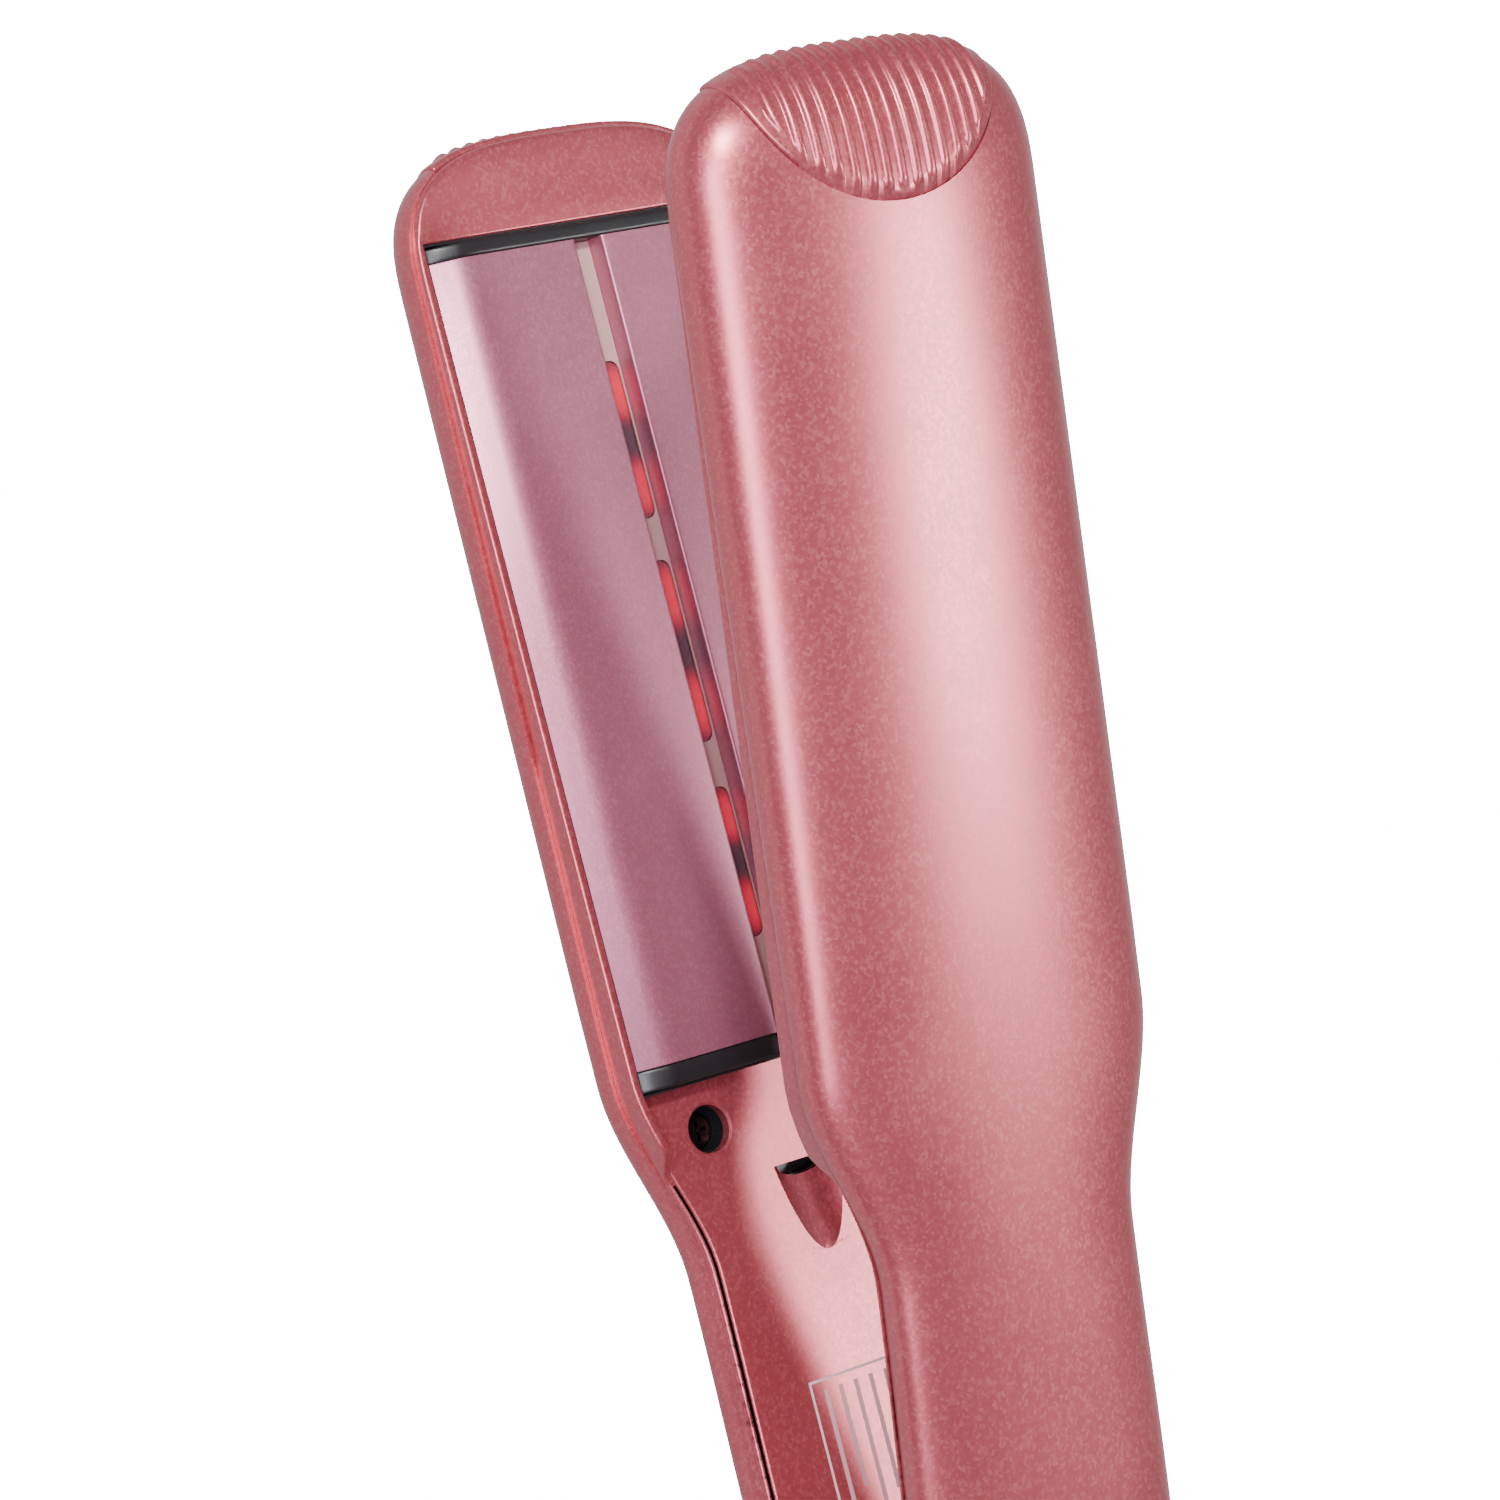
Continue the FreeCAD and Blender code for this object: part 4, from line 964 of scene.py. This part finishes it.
# %% [markdown]
# ## The heated plate
#
# The plate is an extrusion: two flats whose long edges slope away, so that hair slides on, and a
# deep channel between them. So it is a profile carried straight along, with its corners softened
# one by one. The sloped edges get the large radius and the lips of the channel a small one.

# %% Plate, black end strips and the lit windows
WINDOWS = ((-37.4, -18.8), (-13.2, 9.4), (14.6, 34.2))
WINDOW_HALF, WINDOW_ROUND = CHANNEL_HALF - 0.3, 1.2
SHOULDER, SHOULDER_DROP, SHOULDER_ROUND, LIP_ROUND = 4.2, 1.9, 1.6, 0.5
STRIP_LOW, STRIP_TOP = -4.4, -0.45


def prism(profile, x0, x1, ease):
    """A closed (y, z) outline carried from x0 to x1, its ends drawn in to break the edge."""
    profile = np.array(profile, float)
    middle = profile.mean(0)
    stations = [(x0, 1), (x0 + ease, 0), (x1 - ease, 0), (x1, 1)]
    rows = []
    for x, drawn in stations:
        shrink = 1 - drawn * ease / np.abs(profile - middle).max()
        flat = middle + (profile - middle) * shrink
        rows.append(np.concatenate([np.full((len(flat), 1), x), flat], axis=1))
    return np.stack(rows)


def plate_profile():
    """Both flats and the channel in one closed outline, the right side first, then mirrored."""
    half, top = PLATE_WIDTH / 2, PLATE_FACE
    low, floor = top - PLATE_THICKNESS, top - CHANNEL_DEPTH
    long_edge = softened([(half, low), (half, top - SHOULDER_DROP), (half - SHOULDER, top),
                          (half - 8, top)], SHOULDER_ROUND, 10)
    lip = softened([(CHANNEL_HALF + 1.4, top), (CHANNEL_HALF, top), (CHANNEL_HALF, floor)],
                   LIP_ROUND, 5)
    right = np.concatenate([long_edge, lip])
    outer, under = CHANNEL_HALF + CHANNEL_WALL, floor - CHANNEL_WALL
    below = [(-outer, low), (-outer, under), (outer, under), (outer, low)]
    ring = np.concatenate([right, right[::-1] * (-1, 1), below])
    return np.concatenate([ring, ring[:1]])


def strip_grid(x0, x1):
    """A bar across the plate's end: a softened (x, z) section that drops with the plate's edge."""
    low, top = STRIP_LOW, STRIP_TOP
    section = softened([(x0, low), (x0, top), (x1, top), (x1, low), (x0, low)], 0.55, 5)
    half = PLATE_WIDTH / 2
    y = half - SHOULDER * np.array([0.0, 0.0, 0.04, 0.5, 0.88, 1.0, 1.12, 1.5])
    drop = SHOULDER_DROP * np.interp(half - y, [0, SHOULDER * 0.88, SHOULDER * 1.12], [1, 0.12, 0])
    drop[0], drop[1] = drop[0] + 0.5, drop[1] + 0.15
    y, drop = np.concatenate([-y, y[::-1]]), np.concatenate([drop, drop[::-1]])[:, None]
    z = section[:, 1] - drop * (section[:, 1] - low) / (top - low)
    x = np.broadcast_to(section[:, 0], z.shape)
    return np.stack([x, np.broadcast_to(y[:, None], z.shape), z], -1)


print("points in the plate's outline:", len(plate_profile()))

# %% [markdown]
# ### Light in the channel
#
# Under each window two red lamps shine through a clear insert. So the glow is strongest near each
# lamp and nearly dark between them. Each insert stores its own glow per point, worked out from the
# distance to its lamps, and the material reads it. A lamp per window would need far more samples.

# %% The glowing insert
def glow_material():
    """Insert whose base colour and emission follow the stored glow, hotter where the glow is
    strong; the red base near the lamps is painted lamp light and the dark base between them painted
    shade.
    """
    material = bpy.data.materials.new("window_clear")
    material.use_nodes = True
    tree = material.node_tree
    shader = tree.nodes["Principled BSDF"]
    shader.inputs["Roughness"].default_value = 0.18
    shader.inputs["Emission Strength"].default_value = 0.42
    shader.inputs["Coat Weight"].default_value = 0.3
    read = tree.nodes.new("ShaderNodeAttribute")
    read.attribute_name = "glow"
    # The base colour follows the glow too: red near the lamps is painted lamp light, near black
    # between them is painted shade.
    base = mix_colour(tree, read.outputs["Fac"], tone(0.03, 0.02, 0.022), tone(0.50, 0.006, 0.02))
    hot = mix_colour(tree, read.outputs["Fac"], tone(0.012, 0.0, 0.001), tone(1.0, 0.004, 0.05))
    tree.links.new(base, shader.inputs["Base Color"])
    tree.links.new(hot, shader.inputs["Emission Color"])
    return material


GLOW = glow_material()
LAMP_SHARES, LAMP_SPREAD = (0.2, 0.8), 0.16


def window_grid(x0, x1):
    """A rounded slab filling one window, finely divided along so that it can carry the glow."""
    floor = PLATE_FACE - CHANNEL_DEPTH
    x = np.linspace(x0, x1, 41)
    short = np.maximum(WINDOW_ROUND - np.minimum(x - x0, x1 - x), 0)
    reach = WINDOW_HALF - WINDOW_ROUND + np.sqrt(np.maximum(WINDOW_ROUND ** 2 - short ** 2, 0))
    low, high = floor - CHANNEL_WALL, floor - 0.15
    y = np.stack([-reach, -reach, 0 * x, reach, reach, 0 * x, -reach], axis=1)
    z = np.broadcast_to([low, high, high, high, low, low, low], y.shape)
    return np.stack([np.broadcast_to(x[:, None], y.shape), y, z], axis=-1)


def store_glow(piece, arm):
    """Per point: the sum over lamps of exp(-(distance along / spread)^4), at most 1."""
    count = len(piece.data.vertices)
    points = np.empty(count * 3, np.float32)
    piece.data.vertices.foreach_get("co", points)
    points = points.reshape(-1, 3).astype(float) / MM - SHIFT
    along = points[:, 0]
    if arm == "upper":
        reach, up = points[:, 0] - HINGE_X, points[:, 2]
        along = reach * math.cos(OPEN) + up * math.sin(OPEN) + HINGE_X
    glow = np.zeros(count)
    for x0, x1 in WINDOWS:
        for share in LAMP_SHARES:
            lamp = x0 + (x1 - x0) * share
            glow += np.exp(-((along - lamp) / (LAMP_SPREAD * (x1 - x0))) ** 4)
    stored = piece.data.attributes.new("glow", "FLOAT", "POINT")
    stored.data.foreach_set("value", np.clip(glow, 0, 1).astype(np.float32))


# %% Make the plates and what is on them
FLOOR = PLATE_FACE - CHANNEL_DEPTH
OPENINGS = [pill(x0, x1, WINDOW_HALF, WINDOW_ROUND) for x0, x1 in WINDOWS]
# A pale slab on the channel's floor stands in for light reaching that floor: painted light.
LIT_FLOOR_SLAB = slab(-48.9, 48.9, -CHANNEL_HALF + 0.05, CHANNEL_HALF - 0.05, FLOOR - 0.1, FLOOR + 0.12)
STRIPS = {"tip_strip": (PLATE_LENGTH / 2, PLATE_LENGTH / 2 + TIP_STRIP),
          "waist_strip": (-PLATE_LENGTH / 2 - WAIST_STRIP, -PLATE_LENGTH / 2)}


def open_windows(piece, arm, above):
    """Cut the three window openings through a piece, up to a height over the channel's floor."""
    combine(piece, [solid("opening", [loft([(ring, FLOOR - 3), (ring, FLOOR + above)])], arm)
                    for ring in OPENINGS])


for arm in ARMS:
    extrusion = prism(plate_profile(), -PLATE_LENGTH / 2, PLATE_LENGTH / 2, 0.15)
    plate = mend(solid(f"{arm}_hot_plate", [extrusion], arm))
    open_windows(plate, arm, 0.5)
    finish_piece(plate, f"{arm}_plate", PLATE_COAT, (f"{arm}_heater_plate",), 0,
                 30)
    for name, (x0, x1) in STRIPS.items():
        bar = mend(solid(f"{arm}_{name}_bar", [strip_grid(x0, x1)], arm))
        finish_piece(bar, f"{arm}_plate", BLACK, (f"{arm}_{name}",), 0, 40)
    lit_floor = solid(f"{arm}_channel_floor_painted_light", LIT_FLOOR_SLAB, arm)
    open_windows(lit_floor, arm, 3)
    finish_piece(lit_floor, f"{arm}_plate", LIT_FLOOR_PAINT, (f"{arm}_light_windows",))
    inserts = mend(solid(f"{arm}_lit_windows", [window_grid(x0, x1) for x0, x1 in WINDOWS], arm))
    store_glow(inserts, arm)
    finish_piece(inserts, f"{arm}_plate", GLOW, (f"{arm}_light_windows",), 0, 40)

# %% [markdown]
# ## Screws, buttons, caps and the cord bush
#
# These are all turned, so each is a short profile with softened corners. A screw head also has its
# driver's cross cut into it. The heads sit deep in their wells and are seen only as a glint, but
# without them a well is an empty hole.

# %% Screws
HEAD_RADIUS, HEAD_TALL, SHANK_RADIUS = 2.3, 1.3, 1.2
CROSS_ARM, CROSS_HALF, CROSS_FLOOR = 1.3, 0.25, 0.7


def screw_grid(x, y):
    """A pan head on a shank, as one turned profile from the point up to the top of the head."""
    point, top = WELL_FLOOR - SCREW_LENGTH, WELL_FLOOR + HEAD_TALL
    profile = [(point, 0), (point, SHANK_RADIUS), (WELL_FLOOR, SHANK_RADIUS),
               (WELL_FLOOR, HEAD_RADIUS), (top, HEAD_RADIUS), (top, 0)]
    return turned(softened(profile, 0.45), (x, y, 0), around=32)


def make_screws(arm):
    """The four panel screws, with their driver's cross."""
    piece = solid(f"{arm}_screws", [screw_grid(x, y) for x, y in SCREWS], arm)
    low = WELL_FLOOR + CROSS_FLOOR
    rings = [cross(x, y, CROSS_ARM, CROSS_HALF) for x, y in SCREWS]
    combine(piece, [solid("slot", [loft([(ring, low), (ring, low + 2)])], arm) for ring in rings])
    finish_piece(piece, f"{arm}_arm", ZINC, (f"{arm}_panel_screws",))


# %% [markdown]
# The hinge has a steel pin each side, closed by a domed cap, and the cord enters through a bush
# that turns. The end of the arms isn't seen in use, so these are plain working forms.

# %% Hinge caps, pins, bush, spring
PIN_END, CAP_TALL, CORD_BORE = 17.0, 0.9, 2.6
SPRING_X, SPRING_RADIUS, WIRE_RADIUS, SPRING_TURNS = -163.0, 3.6, 0.45, 6
GROOVE_REAR, GROOVE_FRONT, BUSH_FRONT = -174.6, -173.8, -173.0


def make_cap(name, side):
    """A shallow dome with a turned ring, and a stub that closes the bore."""
    top = HANDLE_END + CAP_TALL
    profile = [(PIN_END, 0), (PIN_END, PIN_RADIUS), (HANDLE_END, PIN_RADIUS), (HANDLE_END, 7.0),
               (top, 6.9), (top, 5.2), (top - 0.3, 4.9), (top, 4.6), (top, 0)]
    grid = turned(softened(profile, 0.35), (HINGE_X, 0, 0), "y", 72) * (1, side, 1)
    finish_piece(solid(f"{name}_dome", [grid]), "lower_arm", ROSE, (name,))


def make_pin(name, side):
    """A ground pin with broken ends."""
    inner = SWIVEL_RADIUS + 0.4
    profile = [(inner, 0), (inner, PIN_RADIUS), (PIN_END, PIN_RADIUS), (PIN_END, 0)]
    grid = turned(softened(profile, 0.3), (HINGE_X, 0, 0), "y", 40) * (1, side, 1)
    finish_piece(solid(f"{name}_turned", [grid]), "lower_arm", STEEL, (name,))


def make_bush():
    """Collar outside, shaft and clip groove inside, bored through for the cord."""
    back = HINGE_X - SHELL_DEPTH - 0.35
    rear, groove = back - 6.0, SWIVEL_RADIUS - 0.6
    profile = [(rear, CORD_BORE), (rear, 4.6), (rear + 1.2, 6.6), (back, 7.2),
               (back, SWIVEL_RADIUS), (GROOVE_REAR, SWIVEL_RADIUS), (GROOVE_REAR, groove),
               (GROOVE_FRONT, groove), (GROOVE_FRONT, SWIVEL_RADIUS), (BUSH_FRONT, SWIVEL_RADIUS),
               (BUSH_FRONT, CORD_BORE), (rear, CORD_BORE)]
    grid = turned(softened(profile, 0.5), (0, 0, 0), "x", 72)
    finish_piece(solid("cord_bush", [grid]), "swivel", BLACK, ("cord_swivel",))


def coil_points():
    """Centre line of the opening spring: a helix whose pitch closes up at both ends."""
    low = DECK_TOP + WIRE_RADIUS
    reach = SPRING_X - HINGE_X - SPRING_RADIUS - WIRE_RADIUS
    high = -DECK_TOP / math.cos(OPEN) + reach * math.tan(OPEN) - WIRE_RADIUS - 0.1
    t = np.linspace(0, 1, 361)
    rise = np.clip((t - 0.1) / 0.8, 0, 1)
    angle = 2 * math.pi * SPRING_TURNS * t
    return np.stack([SPRING_X + SPRING_RADIUS * np.cos(angle), SPRING_RADIUS * np.sin(angle),
                     low + (high - low) * rise], -1)


def tube(path, radius):
    """A round tube along a path: circles square to the path, in a frame kept upright by +Z."""
    ahead = np.gradient(path, axis=0)
    ahead /= np.linalg.norm(ahead, axis=1, keepdims=True)
    across = np.cross(ahead, (0, 0, 1.0))
    across /= np.linalg.norm(across, axis=1, keepdims=True)
    upright = np.cross(across, ahead)
    angle = np.linspace(0, 2 * math.pi, 11)
    ring = (across[:, None] * np.cos(angle)[:, None] + upright[:, None] * np.sin(angle)[:, None])
    return path[:, None] + radius * ring


# %% Make the hardware
for arm in ARMS:
    make_screws(arm)
for side, name in ((1, "hinge_cap_left"), (-1, "hinge_cap_right")):
    make_cap(name, side)
for side, name in ((1, "hinge_pin_left"), (-1, "hinge_pin_right")):
    make_pin(name, side)
make_bush()
spring = mend(solid("opening_coil", [tube(coil_points(), WIRE_RADIUS)]))
finish_piece(spring, "lower_arm", SPRING, ("opening_spring",))
tuple(place(np.array([SPRING_X, 0.0, DECK_TOP]), "lower"))
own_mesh(spring)

# %% [markdown]
# The controls sit in the lower deck: two small buttons either side of a larger one, and a smoked
# display. A button's top is dished a little, so that a thumb finds it.

# %% Make the controls
FLANGE_LOW, FLANGE_TOP, FLANGE_WIDTH = -6.4, -5.7, 0.6
for name, (x, radius) in BUTTONS.items():
    dish = [(DECK_TOP + 0.6, radius), (DECK_TOP + 0.42, radius * 0.72), (DECK_TOP + 0.34, 0)]
    wide = radius + FLANGE_WIDTH
    profile = [(FLANGE_LOW, 0), (FLANGE_LOW, wide), (FLANGE_TOP, wide), (FLANGE_TOP, radius)] + dish
    cap = solid(f"{name}_cap", [turned(softened(profile, 0.35), (x, 0, 0))])
    finish_piece(cap, name, ROSE, (name,))
glass = pill(DISPLAY_REAR + 0.1, DISPLAY_FRONT - 0.1, DISPLAY_HALF - 0.1, DISPLAY_CORNER - 0.1)
lens = solid("display_window", [loft([(glass, DECK_LOW), (glass, DECK_TOP + 0.1)])])
finish_piece(lens, "lower_arm", LENS, ("display_lens",), 0.3)

# %% [markdown]
# A rating label is printed on the lower deck. Here it is a plain frame with plain bars in place of
# the print: thin raised lines, so that they catch the light a little differently from the paint.

# %% Make the label
LABEL_FRONT, LABEL_REAR, LABEL_HALF, LINE = -90.5, -111.5, 8.0, 0.32
BAR_PITCH, BAR_HALF, BAR_MARGIN = 2.3, 0.3, 2.2
PRINT_LOW, PRINT_TOP = DECK_TOP - 0.1, DECK_TOP + 0.03
BAR_ENDS = (-108.0, -104.5, -109.5, -106.0, -109.0, -103.0)
label = solid("label_frame", [frame_ring(LABEL_REAR, LABEL_FRONT, LABEL_HALF, LINE, PRINT_LOW,
                                         PRINT_TOP)])
finish_piece(label, "lower_arm", PRINT, ("lower_panel",))
bars = []
for row, rear in enumerate(BAR_ENDS):
    y = LABEL_HALF - BAR_MARGIN - BAR_PITCH * row
    bars += slab(rear, LABEL_FRONT - 1.4, y - BAR_HALF, y + BAR_HALF, PRINT_LOW, PRINT_TOP)
finish_piece(solid("label_bars", bars), "lower_arm", PRINT_FAINT, ("lower_panel",))

# %% [markdown]
# ## Finishes for what is inside
#
# Heaters, clamps, boards and leads keep the shapes of the model, because they are plain working
# parts. They still get a real finish, since the openings and the windows let a little of them show.

# %% Materials for the model's own nodes
INSIDE = {"ceramic_heaters": CERAMIC, "heater_clamp": SHEET, "thermistor": SENSOR,
          "thermal_fuse": SENSOR, "plate_carrier": BLACK, "plate_cushions": SILICONE,
          "led_board": BOARD, "leds": GLOW, "leads": SLEEVE}
SINGLE = {"main_board": BOARD, "tact_switches": BLACK, "display_module": BLACK,
          "swivel_clip": SPRING}


def dress(node, material):
    """Give a node of the model its finish."""
    data = frame["nodes"][node].data
    data.materials.clear()
    data.materials.append(material)


for arm in ARMS:
    for part, material in INSIDE.items():
        dress(f"{arm}_{part}", material)
for node, material in SINGLE.items():
    dress(node, material)
print("nodes dressed:", 2 * len(INSIDE) + len(SINGLE))

# %% [markdown]
# ## Floor, light and camera
#
# The iron lies on a plain pale floor, which the camera sees as white, like the world round it. The
# light it gives is much weaker, or the paint would lose its depth. A narrow key on the far side
# draws the long soft band down the back of the open arm. A wide, slightly cool light on the
# camera's side gives the lilac sheen, and two small ones pick out the waist and the tip.

# %% Floor
floor_mesh = bpy.data.meshes.new("floor")
REACH, LEVEL = 3.0, -0.0005
floor_mesh.from_pydata([(-REACH, -REACH, LEVEL), (REACH, -REACH, LEVEL), (REACH, REACH, LEVEL),
                        (-REACH, REACH, LEVEL)], [], [(0, 1, 2, 3)])
floor_object = link("floor", floor_mesh)
PALE = new_material("pale_floor", GRAIN,
                    {"Dark": tone(0.30, 0.30, 0.30), "Light": tone(0.36, 0.36, 0.36),
                     "Grains per metre": 300.0, "Roughness": 0.8, "Patchiness": 0.05}, bump=0.02)
pale_shader = PALE.node_tree.nodes["Principled BSDF"]
pale_shader.inputs["Emission Color"].default_value = tone(1, 1, 1)


def white_to_camera(tree, socket, strength):
    """Strength for the light it gives, and far more for what the camera sees of it."""
    seen = tree.nodes.new("ShaderNodeLightPath").outputs["Is Camera Ray"]
    tree.links.new(math_node(tree, "ADD", math_node(tree, "MULTIPLY", seen, 20.0), strength),
                   socket)


white_to_camera(PALE.node_tree, pale_shader.inputs["Emission Strength"], 0.1)
floor_mesh.materials.append(PALE)

# %% Lights
AIM = place(np.array([-5.0, 0.0, 20.0]), "lower")


def soft_light(name, azimuth, elevation, distance, width, height, watts, colour=(1, 1, 1)):
    """An area light on a sphere round the head of the iron, facing it."""
    turn, rise = math.radians(azimuth), math.radians(elevation)
    offset = distance * np.array([math.cos(rise) * math.cos(turn), math.cos(rise) * math.sin(turn),
                                  math.sin(rise)])
    data = bpy.data.lights.new(name, "AREA")
    data.shape = "RECTANGLE"
    data.size, data.size_y = width, height
    data.energy = watts
    data.color = colour
    lamp = bpy.data.objects.new(name, data)
    lamp.location = AIM + offset
    lamp.rotation_euler = Euler((math.pi / 2 - rise, 0, turn + math.pi / 2))
    bpy.context.scene.collection.objects.link(lamp)


soft_light("key", -110, 48, 0.85, 0.19, 0.06, 2.8)
soft_light("sheen", 98, 53, 0.9, 0.56, 0.26, 7.5, (0.90, 0.86, 1.0))
soft_light("top", -72, 66, 1.0, 0.10, 0.10, 0.5)
soft_light("tip", 42, 57, 0.9, 0.12, 0.12, 8)
world = bpy.data.worlds.new("studio")
world.use_nodes = True
background = world.node_tree.nodes["Background"]
background.inputs["Color"].default_value = tone(1, 1, 1)
white_to_camera(world.node_tree, background.inputs["Strength"], 0.30)
bpy.context.scene.world = world

# %% Camera
CAMERA_AT = (0.05004, 0.31690, 0.46508)
CAMERA_TURN = (10.656, -33.944, -107.552)
lens_data = bpy.data.cameras.new("camera")
lens_data.lens = 110.5
lens_data.sensor_width = 36.0
lens_data.clip_start = 0.01
camera = bpy.data.objects.new("camera", lens_data)
camera.location = CAMERA_AT
camera.rotation_euler = Euler([math.radians(v) for v in CAMERA_TURN])
bpy.context.scene.collection.objects.link(camera)
bpy.context.scene.camera = camera
